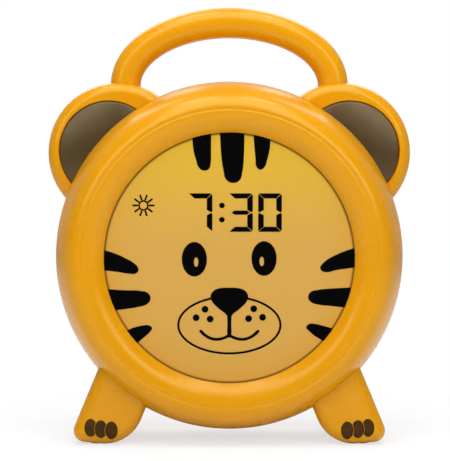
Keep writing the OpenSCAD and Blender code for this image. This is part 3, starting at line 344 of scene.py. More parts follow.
class Finish:
    """A procedural material on object coordinates, built up a step at a time."""

    made = {}

    def __init__(self, name, base, rough, **sockets):
        self.material = bpy.data.materials.new(name)
        self.material.use_nodes = True
        self.tree = self.material.node_tree
        self.shader = self.tree.nodes["Principled BSDF"]
        self.place = self.node("TexCoord").outputs["Object"]
        self.base = list(base)
        self.shader.inputs["Base Color"].default_value = self.base
        self.shader.inputs["Roughness"].default_value = rough
        for socket, value in sockets.items():
            self.shader.inputs[socket.replace("_", " ")].default_value = value

    def node(self, kind, inputs=(), **settings):
        return add_node(self.tree, kind, inputs, **settings)

    def math(self, operation, first, second=0.0, clamp=False):
        """One step of arithmetic on a value."""
        return self.node("Math", {0: first, 1: second}, operation=operation, use_clamp=clamp).outputs[0]

    def axis(self, name):
        """Place along one axis: X, Y or Z."""
        return self.node("SeparateXYZ", {"Vector": self.place}).outputs[name]

    def distance(self, place):
        """Distance of a place from zero."""
        return self.node("VectorMath", {0: place}, operation="LENGTH").outputs["Value"]

    def noise(self, scale, detail=2.0):
        """Noise of about one feature per 1/scale metres."""
        return self.node("TexNoise", {"Vector": self.place, "Scale": scale, "Detail": detail}).outputs[0]

    def spread(self, value, low, high, start=0.35, end=0.65):
        """Maps a value from one range to another."""
        return self.node("MapRange", {"Value": value, "From Min": start, "From Max": end,
                                      "To Min": low, "To Max": high}).outputs["Result"]

    def mix(self, share, first, second):
        """Colour between two others."""
        return self.node("Mix", {"Factor": share, 6: first, 7: second}, data_type="RGBA").outputs[2]

    def link(self, socket, value):
        self.tree.links.new(value, self.shader.inputs[socket])

    def tint(self, amount, scale):
        """Varies the base colour a little, as pigment in plastic does."""
        darker = [c * (1 - amount) for c in self.base[:3]] + [1]
        lighter = [min(1, c * (1 + amount)) for c in self.base[:3]] + [1]
        self.link("Base Color", self.mix(self.spread(self.noise(scale), 0, 1), darker, lighter))
        return self

    def wear(self, low, high, scale):
        """Varies the roughness."""
        self.link("Roughness", self.spread(self.noise(scale, 4), low, high))
        return self

    def bump(self, height, scale, detail=2.0):
        """Fine relief, with its height in metres."""
        relief = self.node("Bump", {"Height": self.noise(scale, detail), "Distance": height})
        self.link("Normal", relief.outputs["Normal"])
        return self

    @classmethod
    def of(cls, name):
        """The material of that name, made on its first use."""
        if name not in cls.made:
            cls.made[name] = FINISHES[name](name, bpy.context.scene.clock_colours).material
        return cls.made[name]


def body_plastic(name, colours):
    """Glossy moulded plastic with a faint orange peel."""
    finish = Finish(name, colours.body, 0.25, Specular_IOR_Level=0.42, Specular_Tint=(0.9, 1, 0.55, 1))
    return finish.tint(0.02, 14).wear(0.23, 0.28, 60).bump(0.006 * MM, 500)


def key_plastic(name, colours):
    """Satin plastic of the buttons and the switch."""
    finish = Finish(name, colours.keys, 0.4, Specular_IOR_Level=0.4)
    return finish.tint(0.04, 60).wear(0.36, 0.46, 300).bump(0.02 * MM, 1500)


def inlay_plastic(name, colours):
    """Dark glossy inlay."""
    finish = Finish(name, colours.inlay, 0.3, Specular_IOR_Level=0.72, Specular_Tint=(1, 0.84, 0.56, 1))
    return finish.tint(0.08, 60).wear(0.29, 0.34, 200).bump(0.02 * MM, 1200)


def toe_plastic(name, colours):
    """Dark matt plastic of the toes and of the buttons' signs."""
    finish = Finish(name, colours.toe, 0.6, Specular_IOR_Level=0.08)
    return finish.tint(0.12, 200).wear(0.55, 0.68, 300).bump(0.02 * MM, 1500)


def sole_rubber(name, colours):
    """Dull rubber with a grain."""
    finish = Finish(name, colours.sole, 0.8, Specular_IOR_Level=0.3)
    return finish.tint(0.15, 300).wear(0.75, 0.9, 500).bump(0.05 * MM, 2500, 4)


def print_ink(name, colours):
    """Flat black ink."""
    finish = Finish(name, colours.ink, 0.6, Specular_IOR_Level=0.03)
    return finish.tint(0.1, 300).wear(0.55, 0.65, 500)


def lit_window(name, colours):
    """Tinted window with painted light: a painted glow near its top, where the diodes behind it would light
    it, painted shade towards its rim, and a thin painted shadow line where it meets the ring.
    """
    finish = Finish(name, colours.window, 0.5, Specular_IOR_Level=0.2)
    # Heights above the window's centre between which the painted glow grows
    painted_glow_low, painted_glow_high = 5 * MM, 60 * MM
    # Radii between which the painted shade towards the rim grows
    painted_shade_in, painted_shade_out = 44 * MM, 60 * MM
    # Radii of a thin painted shadow line where the ring's lip meets the window
    painted_line_in, painted_line_out = 56.1 * MM, 56.9 * MM
    painted_joint_shade = srgb(92, 60, 10)
    up = finish.math("SUBTRACT", finish.axis("Z"), BODY_Z)
    far = finish.distance(finish.node("CombineXYZ", {"X": finish.axis("X"), "Y": up}).outputs[0])
    speck = finish.spread(finish.noise(900, 3), -0.03, 0.03)
    # high: share of the painted glow, brighter towards the top
    high = finish.math("ADD", finish.spread(up, 0, 1, painted_glow_low, painted_glow_high), speck, clamp=True)
    # rim and low: share of the painted shade towards the rim, less where the painted glow is
    rim = finish.spread(far, 0, 1, painted_shade_in, painted_shade_out)
    low = finish.math("MULTIPLY", rim, finish.spread(high, 0.8, 0.0, 0, 0.7))
    # Window colour with the painted glow, then with the painted shade towards the rim
    shade = finish.mix(high, list(colours.window), list(colours.window_painted_glow))
    shade = finish.mix(low, shade, list(colours.window_painted_rim_shade))
    # Painted shadow line at the joint with the ring
    painted_joint_mask = finish.spread(far, 0, 0.8, painted_line_in, painted_line_out)
    finish.link("Base Color", finish.mix(painted_joint_mask, shade, painted_joint_shade))
    return finish.wear(0.46, 0.56, 400)


def satin(shown, rough, tint, scale, relief=0.01, **sockets):
    """Maker of a plain satin finish with a little variation of colour, gloss and relief."""
    def make(name, colours):
        finish = Finish(name, srgb(*shown), rough, **sockets)
        finish.tint(tint, scale).wear(rough * 0.9, rough * 1.12, scale * 2)
        return finish.bump(relief * MM, scale * 6)
    return make


def steel(name, colours):
    """Plated steel with fine brush marks."""
    finish = Finish(name, srgb(196, 197, 200), 0.3, Metallic=1.0)
    marks = finish.node("Mapping", {"Vector": finish.place, "Scale": (400, 6000, 400)}).outputs[0]
    brushed = finish.node("TexNoise", {"Vector": marks, "Scale": 1, "Detail": 3}).outputs[0]
    finish.link("Roughness", finish.spread(brushed, 0.22, 0.42))
    finish.link("Base Color", finish.mix(brushed, srgb(178, 179, 182), srgb(214, 215, 218)))
    return finish


def circuit_board(name, colours):
    """Green solder mask over fine copper tracks."""
    finish = Finish(name, srgb(22, 84, 48), 0.35, Coat_Weight=0.3, Coat_Roughness=0.2)
    upright = finish.node("Mapping", {"Vector": finish.place, "Rotation": (math.pi / 2, 0, 0)})
    tracks = finish.node("TexBrick", {
        "Vector": upright.outputs[0], "Color1": srgb(24, 92, 52), "Color2": srgb(18, 74, 42),
        "Mortar": srgb(48, 122, 70), "Scale": 90, "Mortar Size": 0.06, "Brick Width": 0.9,
        "Row Height": 0.16})
    finish.link("Base Color", tracks.outputs["Color"])
    return finish.wear(0.3, 0.42, 600)


def cell_jacket(name, colours):
    """Foil jacket of a battery cell: dark, with a copper band at its positive end."""
    foil, copper = srgb(54, 58, 66), srgb(186, 120, 66)
    half_pitch, band_from = 7.4 * MM, 12 * MM
    finish = Finish(name, foil, 0.3, Metallic=0.6)
    off = finish.math("ABSOLUTE", finish.math("SUBTRACT", finish.axis("Z"), DOOR_Z))
    outer_cell = finish.math("GREATER_THAN", off, half_pitch)
    side = finish.spread(outer_cell, -1, 1, 0, 1)
    along = finish.math("MULTIPLY", finish.axis("X"), side)
    band = finish.math("GREATER_THAN", along, band_from)
    finish.link("Base Color", finish.mix(band, foil, copper))
    return finish.wear(0.25, 0.36, 500)


FINISHES = {
    "body_plastic": body_plastic, "key_plastic": key_plastic, "inlay_plastic": inlay_plastic,
    "toe_plastic": toe_plastic, "sole_rubber": sole_rubber, "print_ink": print_ink,
    "lit_window": lit_window, "steel": steel, "circuit_board": circuit_board,
    "cell_jacket": cell_jacket,
    "lcd_glass": satin((196, 196, 186), 0.2, 0.02, 100, 0.002, Coat_Weight=0.5),
    "diffuser": satin((240, 236, 222), 0.6, 0.02, 80, 0.02),
    "tray_plastic": satin((228, 228, 224), 0.45, 0.03, 60),
    "black_moulding": satin((34, 34, 36), 0.55, 0.15, 300, 0.03),
    "led": satin((248, 240, 190), 0.25, 0.03, 200, 0.002),
    "battery_plastic": satin((40, 40, 42), 0.5, 0.1, 120, 0.03),
    "speaker_paper": satin((44, 43, 42), 0.9, 0.2, 500, 0.08),
    "lead_sleeve": satin((158, 34, 28), 0.5, 0.08, 400),
    "grey_sleeve": satin((70, 70, 74), 0.5, 0.08, 400),
    "ribbon_film": satin((190, 118, 44), 0.3, 0.08, 250),
}
# The finish of each node that keeps its own mesh
INNER = {
    "lcd_panel": "lcd_glass", "light_guide": "diffuser", "reflector_tray": "tray_plastic",
    "led_board": "circuit_board", "night_light_leds": "led", "main_board": "circuit_board",
    "main_board_parts": "black_moulding", "control_board": "circuit_board",
    "tact_switches": "black_moulding", "slide_switch_body": "steel",
    "loudspeaker": "black_moulding", "speaker_cone": "speaker_paper",
    "battery_tray": "battery_plastic", "battery_cells": "cell_jacket",
    "battery_springs": "steel", "battery_contacts": "steel", "housing_screws": "steel",
    "tray_screws": "steel", "board_screws": "steel", "battery_leads": "lead_sleeve",
    "speaker_leads": "grey_sleeve", "led_leads": "lead_sleeve", "display_ribbon": "ribbon_film",
    "control_ribbon": "ribbon_film", "window": "lit_window",
}


# ---------- body ----------

RING_REBATE = 3 * MM  # how far the window reaches behind the ring's lip
SLEEVE_DEPTH = 10.4 * MM  # length of the sleeve that holds the window
ENVELOPE_STEPS = 144


def groove_walls(sizes):
    """Angles, in degrees, at which the groove's inner and outer walls face at their steepest."""
    steep = math.degrees(math.asin(sizes.groove_width / 4 / sizes.groove_round))
    return steep - 90, -90 - steep


def ring_line(pen, sizes, grow=0.0):
    """Continues a pen from the groove's outer edge along the ring's side to the parting line."""
    edge = (sizes.groove_radius + sizes.groove_width / 2, FRONT_Y + sizes.groove_round)
    lean = sizes.outer_tilt - math.pi / 2
    nose = polar(edge, sizes.groove_round - sizes.nose_round, lean)
    start = polar((BODY_R, 0), -sizes.shoulder, math.pi / 2 - sizes.draft)
    run, rise = start[0] - nose[0], start[1] - nose[1]
    out = run * math.cos(sizes.draft) - rise * math.sin(sizes.draft)
    side_r = (run ** 2 + rise ** 2 - sizes.nose_round ** 2) / (2 * (out - sizes.nose_round))
    side = polar(start, -side_r, -sizes.draft)
    meet = math.degrees(math.atan2(nose[1] - side[1], nose[0] - side[0]))
    lean, draft = math.degrees(lean), math.degrees(sizes.draft)
    pen.arc(edge, sizes.groove_round + grow, groove_walls(sizes)[1], lean, 6)
    pen.arc(nose, sizes.nose_round + grow, lean, meet, 16)
    return pen.arc(side, side_r + grow, meet, -draft, 14).line(BODY_R + grow, 0)


def front_ring(sizes):
    """Front shell: lip, slope, fine groove along the crest, rounded nose and drafted side."""
    opening, crest, lip, small = (sizes.window_radius, sizes.groove_radius, sizes.soft_edge,
                                  sizes.groove_round)
    edge = (crest - sizes.groove_width / 2, FRONT_Y + small)
    inner, outer = groove_walls(sizes)
    floor = polar(edge, 2 * small, math.radians(inner))
    top = polar(edge, small, -math.pi / 2 - sizes.inner_tilt)
    foot = (opening + lip / 2, FRONT_Y + sizes.lip_depth)
    chord = math.hypot(top[0] - foot[0], top[1] - foot[1])
    rise = math.atan2(foot[1] - top[1], top[0] - foot[0])
    slope_r = chord / 2 / math.sin(rise - sizes.inner_tilt)
    slope = polar(top, -slope_r, -math.pi / 2 - sizes.inner_tilt)
    steep, tilt = math.degrees(2 * rise - sizes.inner_tilt), math.degrees(sizes.inner_tilt)
    pen = Pen(opening, WINDOW_Y - 0.01 * MM)
    pen.line(opening, foot[1] + lip).line(opening + lip / 8, foot[1] + lip / 3)
    pen.arc(slope, slope_r, -90 - steep, -90 - tilt, 24).arc(edge, small, -90 - tilt, inner, 6)
    pen.arc(floor, small, inner + 180, outer + 180, 8)
    ring_line(pen, sizes)

    bore = opening + RING_REBATE
    sleeve = bore + sizes.wall
    pen.line(BODY_R - sizes.seam, 0).line(BODY_R - sizes.wall, 0)
    pen.line(BODY_R - sizes.wall - MM, -sizes.shoulder)
    # Inside of the crest: radius, and depth behind the front in millimetres
    for radius, depth in ((BODY_R - 4.6 * MM, 11), (crest + 3 * MM, 3.8), (crest, 2.8), (sleeve, 4.2)):
        pen.line(radius, FRONT_Y + depth * MM)
    pen.line(sleeve, WINDOW_Y + SLEEVE_DEPTH).line(bore, WINDOW_Y + SLEEVE_DEPTH)
    pen.line(bore, WINDOW_Y).line(opening, WINDOW_Y)
    return pen.turn(sizes.steps, closed=True)


def envelope(sizes, grow):
    """The body's whole outside, grown by a margin, as a solid that trims what sits against it."""
    pen = Pen(0, FRONT_Y - grow).line(sizes.groove_radius, FRONT_Y - grow)
    ring_line(pen, sizes, grow)
    pen.arc((BODY_R - sizes.back_round, BACK_Y - sizes.back_round), sizes.back_round + grow, 0, 90, 20)
    pen.line(0, BACK_Y + grow)
    return pen.turn(ENVELOPE_STEPS)


class CLOCK_OT_front_ring(bpy.types.Operator):
    """Front ring round the window"""

    bl_idname = "clock.front_ring"
    bl_label = "Front Ring"

    def execute(self, context):
        piece("front_ring", front_ring(context.scene.clock_sizes), "body_plastic", ["front_shell"])
        return {"FINISHED"}


# Places on the back: the control panel and its row of buttons
PANEL = {"z": BODY_Z + 18 * MM, "width": 75 * MM, "height": 15 * MM, "corner": 7 * MM, "depth": 1.2 * MM}
KEY_PITCH = 15 * MM
KEY_X = {"mode": -2 * KEY_PITCH, "alarm": -KEY_PITCH, "light": 0, "minus": KEY_PITCH, "plus": 2 * KEY_PITCH}
KEY_R = 4.5 * MM
# The loudspeaker's grille
GRILLE_Z = BODY_Z + 39 * MM
GRILLE_PITCH = 3.8 * MM
GRILLE_HOLE_R = 1 * MM
# The battery door: a plate with a round lobe at its top for the screw
DOOR_PIN = 1.5 * MM
DOOR_LOBE_R = 4.5 * MM
DOOR_T = 2.6 * MM
DOOR_GAP = 0.25 * MM
DOOR_LEDGE = 1.4 * MM
DOOR_LOBE_Z = DOOR_HIGH.z - DOOR_LOBE_R
DOOR_TOP = DOOR_LOBE_Z - 3.4 * MM
DOOR_W = DOOR_HIGH.x - DOOR_LOW.x - 2 * DOOR_PIN
DOOR_Z = (DOOR_TOP + DOOR_LOW.z) / 2
DOOR_H = DOOR_TOP - DOOR_LOW.z
# The slide switch and, as far out on the other side, the power socket: widths and heights
SWITCH_Z = BODY_Z - 8 * MM
SWITCH_X = 43.25 * MM
RECESS = (13 * MM, 8 * MM)
SWITCH_SLOT = (9.4 * MM, 4.8 * MM)
SOCKET_HOLE = (8 * MM, 3.4 * MM)
# The wells of the housing's screws
WELL_R = 3.3 * MM
WELL_WALL = 1.5 * MM
WELL_OUT = BODY_R - 11.5 * MM
WELL_FLOOR = 2.6 * MM
WELL_SINK = 1.2 * MM
# Depths that a cut in the back runs to: clear of it outside, and past its wall inside
OUTSIDE = BACK_Y + MM
THROUGH = BACK_Y - 6 * MM
# Depths of the thickened wall behind a recess
BACKING = (BACK_Y - 3.4 * MM, BACK_Y - 2 * MM)


def grille_holes():
    """Round holes over the loudspeaker: one in the middle and two rings about it."""
    holes = []
    for ring in range(3):
        for k in range(max(ring * 6, 1)):
            at = polar((0, GRILLE_Z), ring * GRILLE_PITCH, math.radians(60 * k / max(ring, 1)))
            holes.append(rod(*at, GRILLE_HOLE_R, THROUGH, OUTSIDE, 20))
    return holes


def wells(radius, low, high):
    """Four rods along Y where the housing's screws go in."""
    return [rod(*polar((0, BODY_Z), WELL_OUT, math.radians(90 * k)), radius, low, high) for k in range(4)]


def back_cuts():
    """Everything that is cut out of the rear cover's outside."""
    floor = BACK_Y - PANEL["depth"]
    above = floor + MM / 2
    cuts = [block(0, PANEL["z"], PANEL["width"], PANEL["height"], floor, OUTSIDE, PANEL["corner"], 10)]
    cuts += [rod(x, PANEL["z"], KEY_R + FIT, THROUGH, above) for x in KEY_X.values()]
    cuts += grille_holes()
    cuts += [block(side * SWITCH_X, SWITCH_Z, *RECESS, floor, OUTSIDE, 2 * MM) for side in (-1, 1)]
    cuts.append(block(-SWITCH_X, SWITCH_Z, *SWITCH_SLOT, THROUGH, above))
    cuts.append(block(SWITCH_X, SWITCH_Z, *SOCKET_HOLE, THROUGH, above, 1.2 * MM))
    floor = BACK_Y - DOOR_T - FIT
    above = floor + MM
    width, height = DOOR_W + 2 * DOOR_GAP, DOOR_H + 2 * DOOR_GAP
    cuts.append(block(0, DOOR_Z, width, height, floor, OUTSIDE, 1.5 * MM))
    cuts.append(rod(0, DOOR_LOBE_Z, DOOR_LOBE_R + DOOR_GAP, floor, OUTSIDE, 48))
    cuts.append(block(0, DOOR_LOW.z + DOOR_T / 2, width, DOOR_T + MM, floor, OUTSIDE))
    width, height = DOOR_W - 2 * DOOR_LEDGE, DOOR_H - 2 * DOOR_LEDGE
    cuts.append(block(0, DOOR_Z, width, height, BACK_Y - 9 * MM, above))
    cuts.append(rod(0, DOOR_LOBE_Z, 1.65 * MM, BACK_Y - 7 * MM, above, 24))
    return cuts


def back_walls():
    """What thickens the rear cover from inside, behind its recesses."""
    walls = [block(0, DOOR_Z, DOOR_W + 7 * MM, DOOR_H + 7 * MM, BACK_Y - 4.7 * MM, BACK_Y - MM),
             rod(0, DOOR_LOBE_Z, 2.9 * MM, BACK_Y - 9 * MM, BACK_Y - MM, 32),
             block(0, PANEL["z"], PANEL["width"] + 4 * MM, PANEL["height"] + 4 * MM, *BACKING, 9 * MM, 10)]
    return walls + [block(side * SWITCH_X, SWITCH_Z, 18.2 * MM, 14 * MM, *BACKING) for side in (-1, 1)]


def rear_cover(sizes):
    """Rear shell with its recesses, battery opening, grille and screw wells."""
    centre = (BODY_R - sizes.back_round, BACK_Y - sizes.back_round)
    register = BODY_R - sizes.wall - FIT
    rebate = register - 1.1 * MM
    pen = Pen(0, BACK_Y).line(centre[0], BACK_Y).arc(centre, sizes.back_round, 90, 0, 20)
    pen.line(BODY_R, sizes.seam).line(BODY_R - sizes.seam, 0).line(register, 0)
    pen.line(register, -2.5 * MM).line(rebate, -2.5 * MM).line(rebate, 4.5 * MM)
    pen.arc(centre, sizes.back_round - sizes.wall, 0, 90, 16).line(0, BACK_Y - sizes.wall)
    shell = pen.turn(sizes.steps)
    tubes = combine(join(*wells(WELL_R + WELL_WALL, FIT, BACK_Y)), envelope(sizes, -WELL_SINK), "INTERSECT")
    for part in back_walls() + [tubes]:
        shell = combine(shell, part, "UNION")
    for cut in back_cuts() + wells(WELL_R, WELL_FLOOR, OUTSIDE):
        shell = combine(shell, cut)

    def on_skin(co):
        """Whether a point lies on the flat back or on its rounded edge."""
        out = math.hypot(co.x, co.z - BODY_Z)
        if out <= centre[0] + 0.01 * MM:
            return abs(co.y - BACK_Y) < 0.01 * MM
        return co.y > centre[1] and abs(
            math.hypot(out - centre[0], co.y - centre[1]) - sizes.back_round) < 0.05 * MM

    return soften(shell, sizes.soft_edge, on_skin)


class CLOCK_OT_rear_cover(bpy.types.Operator):
    """Rear cover with its recesses, grille, wells and battery opening"""

    bl_idname = "clock.rear_cover"
    bl_label = "Rear Cover"

    def execute(self, context):
        piece("rear_cover", rear_cover(context.scene.clock_sizes), "body_plastic", ["rear_shell"], even=True)
        return {"FINISHED"}


# ---------- ears ----------

EAR_R = 32.6 * MM
EAR_X = EAR_HIGH.x - EAR_R
EAR_Z = BODY_Z + 48.08 * MM
EAR_SPLIT = EAR_HIGH.y
EAR_BACK_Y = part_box("right_ear_back")[1].y
EAR_STEPS = 120
EAR_SCREWS = ((48.7 * MM, BODY_Z + 73.9 * MM), (77.0 * MM, BODY_Z + 49.43 * MM))
SCREW_SEAT_R = 2.6 * MM
SCREW_SEAT_DEPTH = 2.2 * MM
INLAY_R = 23 * MM
INLAY_X = INLAY_HIGH.x - INLAY_R
INLAY_Z = INLAY_HIGH.z - INLAY_R
INLAY_EDGE = 0.35 * MM
INLAY_SEAT = 3 * MM
INLAY_SINK = 0.3 * MM


def ear_cup(sizes):
    """Front half of an ear, with a seat for its inlay."""
    front, corner, seam, rim = EAR_LOW.y, sizes.ear_round, sizes.seam / 2, INLAY_EDGE
    pen = Pen(0, front).arc((EAR_R - corner, front + corner), corner, 270, 360, 12)
    pen.line(EAR_R, EAR_SPLIT - seam).line(EAR_R - seam, EAR_SPLIT).line(0, EAR_SPLIT)
    cup = combine(pen.turn(EAR_STEPS, EAR_X, EAR_Z), envelope(sizes, FIT))
    reach = INLAY_R + FIT
    seat = Pen(0, front + INLAY_SEAT).line(reach, front + INLAY_SEAT)
    seat.arc((reach + rim, front + rim), rim, 180, 95, 8).line(reach + rim, front - MM).line(0, front - MM)
    return combine(cup, seat.turn(EAR_STEPS, INLAY_X, INLAY_Z))


def ear_back(sizes):
    """Rear half of an ear, with round seats for two screws."""
    back, corner, seam = EAR_BACK_Y, sizes.ear_round, sizes.seam / 2
    pen = Pen(0, EAR_SPLIT).line(EAR_R - seam, EAR_SPLIT).line(EAR_R, EAR_SPLIT + seam)
    pen.arc((EAR_R - corner, back - corner), corner, 0, 90, 12).line(0, back)
    half = combine(pen.turn(EAR_STEPS, EAR_X, EAR_Z), envelope(sizes, FIT))
    for at in EAR_SCREWS:
        half = combine(half, rod(*at, SCREW_SEAT_R, back - SCREW_SEAT_DEPTH, back + MM))
    return soften(half, 0.3 * MM, lambda co: co.y > back - 0.01 * MM and any(
        math.hypot(co.x - x, co.z - z) < SCREW_SEAT_R + 0.4 * MM for x, z in EAR_SCREWS))


def ear_inlay(sizes):
    """Domed dark inlay, trimmed where the body passes in front of it."""
    dome = sizes.inlay_dome
    edge = EAR_LOW.y + INLAY_SINK
    radius = (INLAY_R ** 2 + dome ** 2) / (2 * dome)
    half = math.degrees(math.asin((INLAY_R - INLAY_EDGE) / radius))
    pen = Pen(0, edge - dome).arc((0, edge - dome + radius), radius, 270, 270 + half, 24)
    pen.arc((INLAY_R - INLAY_EDGE, edge + INLAY_EDGE), INLAY_EDGE, 270 + half, 360, 4)
    pen.line(INLAY_R, INLAY_HIGH.y).line(0, INLAY_HIGH.y)
    return combine(pen.turn(EAR_STEPS, INLAY_X, INLAY_Z), envelope(sizes, 1.5 * FIT))


class CLOCK_OT_ears(bpy.types.Operator):
    """Two ears, each with a front half, a rear half and a dark inlay"""

    bl_idname = "clock.ears"
    bl_label = "Ears"

    def execute(self, context):
        pair(ear_cup, "ear_cup", "body_plastic")
        pair(ear_back, "ear_back", "body_plastic")
        pair(ear_inlay, "ear_inlay", "inlay_plastic")
        return {"FINISHED"}


# ---------- handle ----------

BAR_WIDTH = 14 * MM
BAR_FOOT = HANDLE_LOW.z + 0.8 * MM
ARCH_RISE = 29.2 * MM
ARCH_STEPS = 88


def handle_path():
    """Places along the bar, from the right ear over to the left: x, z and how far it has turned."""
    reach = HANDLE_HIGH.x - BAR_WIDTH / 2
    spring = HANDLE_HIGH.z - BAR_WIDTH / 2 - ARCH_RISE
    path = [(reach, BAR_FOOT, 0.0)]
    for k in range(ARCH_STEPS + 1):
        turn = math.pi * k / ARCH_STEPS
        place = math.atan2(ARCH_RISE * math.sin(turn), reach * math.cos(turn))
        path.append((reach * math.cos(place), spring + ARCH_RISE * math.sin(place), turn))
    return path + [(-reach, BAR_FOOT, math.pi)]


def handle_bar(sizes):
    """One bar that rises from each ear and goes over in half an oval."""
    bm = bmesh.new()
    section = placed((0, 0, 0), (BAR_WIDTH / 2, (HANDLE_HIGH.y - HANDLE_LOW.y) / 2, 1))
    bmesh.ops.create_grid(bm, x_segments=1, y_segments=1, size=1, matrix=section)
    bevel(bm, bm.verts[:], sizes.bar_round, 10, "VERTICES")
    bmesh.ops.delete(bm, geom=bm.faces[:], context="FACES_ONLY")
    ring, edges, before = bm.verts[:], bm.edges[:], Matrix()
    for i, (x, z, turn) in enumerate(handle_path()):
        if i:
            made = bmesh.ops.extrude_edge_only(bm, edges=edges)["geom"]
            ring = [g for g in made if isinstance(g, bmesh.types.BMVert)]
            edges = [g for g in made if isinstance(g, bmesh.types.BMEdge) and set(g.verts) <= set(ring)]
        here = Matrix.Translation((x, 0, z)) @ Matrix.Rotation(-turn, 4, "Y")
        bmesh.ops.transform(bm, matrix=here @ before.inverted(), verts=ring)
        before = here
    bmesh.ops.holes_fill(bm, edges=[e for e in bm.edges if e.is_boundary], sides=0)
    return tidy(bm)


class CLOCK_OT_handle(bpy.types.Operator):
    """Carry handle that grows out of the two ears"""

    bl_idname = "clock.handle"
    bl_label = "Carry Handle"

    def execute(self, context):
        piece("carry_handle_bar", handle_bar(context.scene.clock_sizes), "body_plastic", ["carry_handle"],
              even=True)
        return {"FINISHED"}


# ---------- paws ----------

# The right paw seen from the front, in millimetres: x and z of each corner, and its rounding
PAW_HEEL = (66.8, 6.3, 5.3)
PAW_INSTEP = (57.65, 18.4, 18.2)
PAW_TOPS = ((48.88, 44.94, 7), (36.6, 39.82, 7))
PAW_SPLAY = 22.6
PAW_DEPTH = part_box("right_paw")[1].y
INSTEP_STEPS = 8
SOLE_X = (SOLE_LOW.x + SOLE_HIGH.x) / 2
SOLE_CORNER = 2.9 * MM
SOLE_PITCH = 5 * MM
# Three toes, from the middle outwards, in millimetres: x from the sole's middle, and z
TOES = ((-5.3, 7.0), (-0.4, 7.6), (4.3, 8.2))
TOE_SIZE = (2.8 * MM, 4.1 * MM)
TOE_GAP = 0.4 * MM
# A toe's rounded edge: share of its half width, and depth behind its front in millimetres
TOE_DOME = ((1, 0.9), (0.97, 0.5), (0.88, 0.24), (0.7, 0.08), (0.4, 0.02))


def paw_discs():
    """Round discs whose common hull is the paw: the large corner is a run of small ones."""
    x, z, large = PAW_INSTEP
    small = PAW_TOPS[0][2]
    discs = [PAW_HEEL, *PAW_TOPS]
    for k in range(INSTEP_STEPS + 1):
        turn = math.radians(-90 - k * (90 - PAW_SPLAY) / INSTEP_STEPS)
        discs.append((*polar((x, z), large - small, turn), small))
    return discs


def paw(sizes):
    """Flat foot with rounded edges, trimmed to the body, with pockets for its toes and its sole."""
    edge, half = sizes.paw_edge, PAW_DEPTH
    pucks = []
    for x, z, radius in paw_discs():
        pen = Pen(0, -half).arc((radius * MM - edge, edge - half), edge, 270, 360, 8)
        pen.arc((radius * MM - edge, half - edge), edge, 0, 90, 8).line(0, half)
        pucks.append(pen.turn(96, x * MM, z * MM))
    bm = join(*pucks)
    bmesh.ops.delete(bm, geom=bm.edges[:], context="EDGES_FACES")
    made = bmesh.ops.convex_hull(bm, input=bm.verts[:])
    loose = {g for g in made["geom_interior"] + made["geom_unused"] if isinstance(g, bmesh.types.BMVert)}
    bmesh.ops.delete(bm, geom=list(loose), context="VERTS")
    bm = combine(tidy(flatten(bm, 0.2)), envelope(sizes, FIT))
    width, height = SOLE_HIGH.x - SOLE_LOW.x + 2 * FIT, SOLE_HIGH.z
    low, high = SOLE_LOW.y - FIT, SOLE_HIGH.y + FIT
    bm = combine(bm, block(SOLE_X, height / 2 + 2 * FIT, width, height, low, high))
    for k in range(len(TOES)):
        bm = combine(bm, toe(k, TOES_HIGH.y, -half - MM, FIT / 2, True))
    return bm


def toe_place(k, grow):
    """Matrix that makes one toe's oval, grown by a margin, of a round shape of radius 1."""
    x, z = TOES[k]
    return placed((SOLE_X + x * MM, 0, z * MM), (TOE_SIZE[0] + grow, 1, TOE_SIZE[1] + grow))


def toe(k, back, front, grow=0.0, straight=False):
    """One toe: a domed oval, or a straight one, that the next toe inwards laps over."""
    pen = Pen(0, back).line(1, back)
    for share, depth in ((1, 0),) if straight else TOE_DOME:
        pen.line(share, front + depth * MM)
    bm = move(pen.line(0, front).turn(48, 0, 0), toe_place(k, grow))
    if k:
        bm = combine(bm, move(rod(0, 0, 1, -50 * MM, 0, 48), toe_place(k - 1, TOE_GAP - grow)))
    return bm


def toe_pads(sizes):
    """Three dark toes, let into the paw's front."""
    return join(*(toe(k, TOES_HIGH.y, TOES_LOW.y) for k in range(len(TOES))))


def sole_pad(sizes):
    """Rubber pad with cross grooves, under the paw."""
    bm = bmesh.new()
    place = placed((SOLE_LOW + SOLE_HIGH) / 2, SOLE_HIGH - SOLE_LOW)
    bmesh.ops.create_cube(bm, size=1, matrix=place)
    bevel(bm, edges_along(bm, 2), SOLE_CORNER, 8)
    for k in range(-3, 4):
        middle = k * SOLE_PITCH
        bm = combine(bm, block(SOLE_X, 0, 20 * MM, MM, middle - MM / 2, middle + MM / 2))
    return bm


class CLOCK_OT_paws(bpy.types.Operator):
    """Two paws with their toes and rubber soles"""

    bl_idname = "clock.paws"
    bl_label = "Paws"

    def execute(self, context):
        pair(paw, "paw", "body_plastic")
        pair(toe_pads, "toe_pads", "toe_plastic")
        pair(sole_pad, "sole_pad", "sole_rubber")
        return {"FINISHED"}


# ---------- printed face ----------

# Print is drawn in millimetres from the window's centre: x to the right, z up. A third
# number marks a sharp corner.
PRINT_R = 57.35


def on_top(x):
    """Point on the window's edge, straight above x."""
    return (x, math.sqrt(PRINT_R ** 2 - x ** 2), 1)


def on_side(z, side):
    """Point on the window's left (-1) or right (1) edge, level with z."""
    return (side * math.sqrt(PRINT_R ** 2 - z ** 2), z, 1)


def flip(points):
    return [(-p[0], *p[1:]) for p in points]


def oval(x, z, wide, high, count=12):
    turns = [math.tau * k / count for k in range(count)]
    return [(x + wide * math.cos(a), z + high * math.sin(a)) for a in turns]


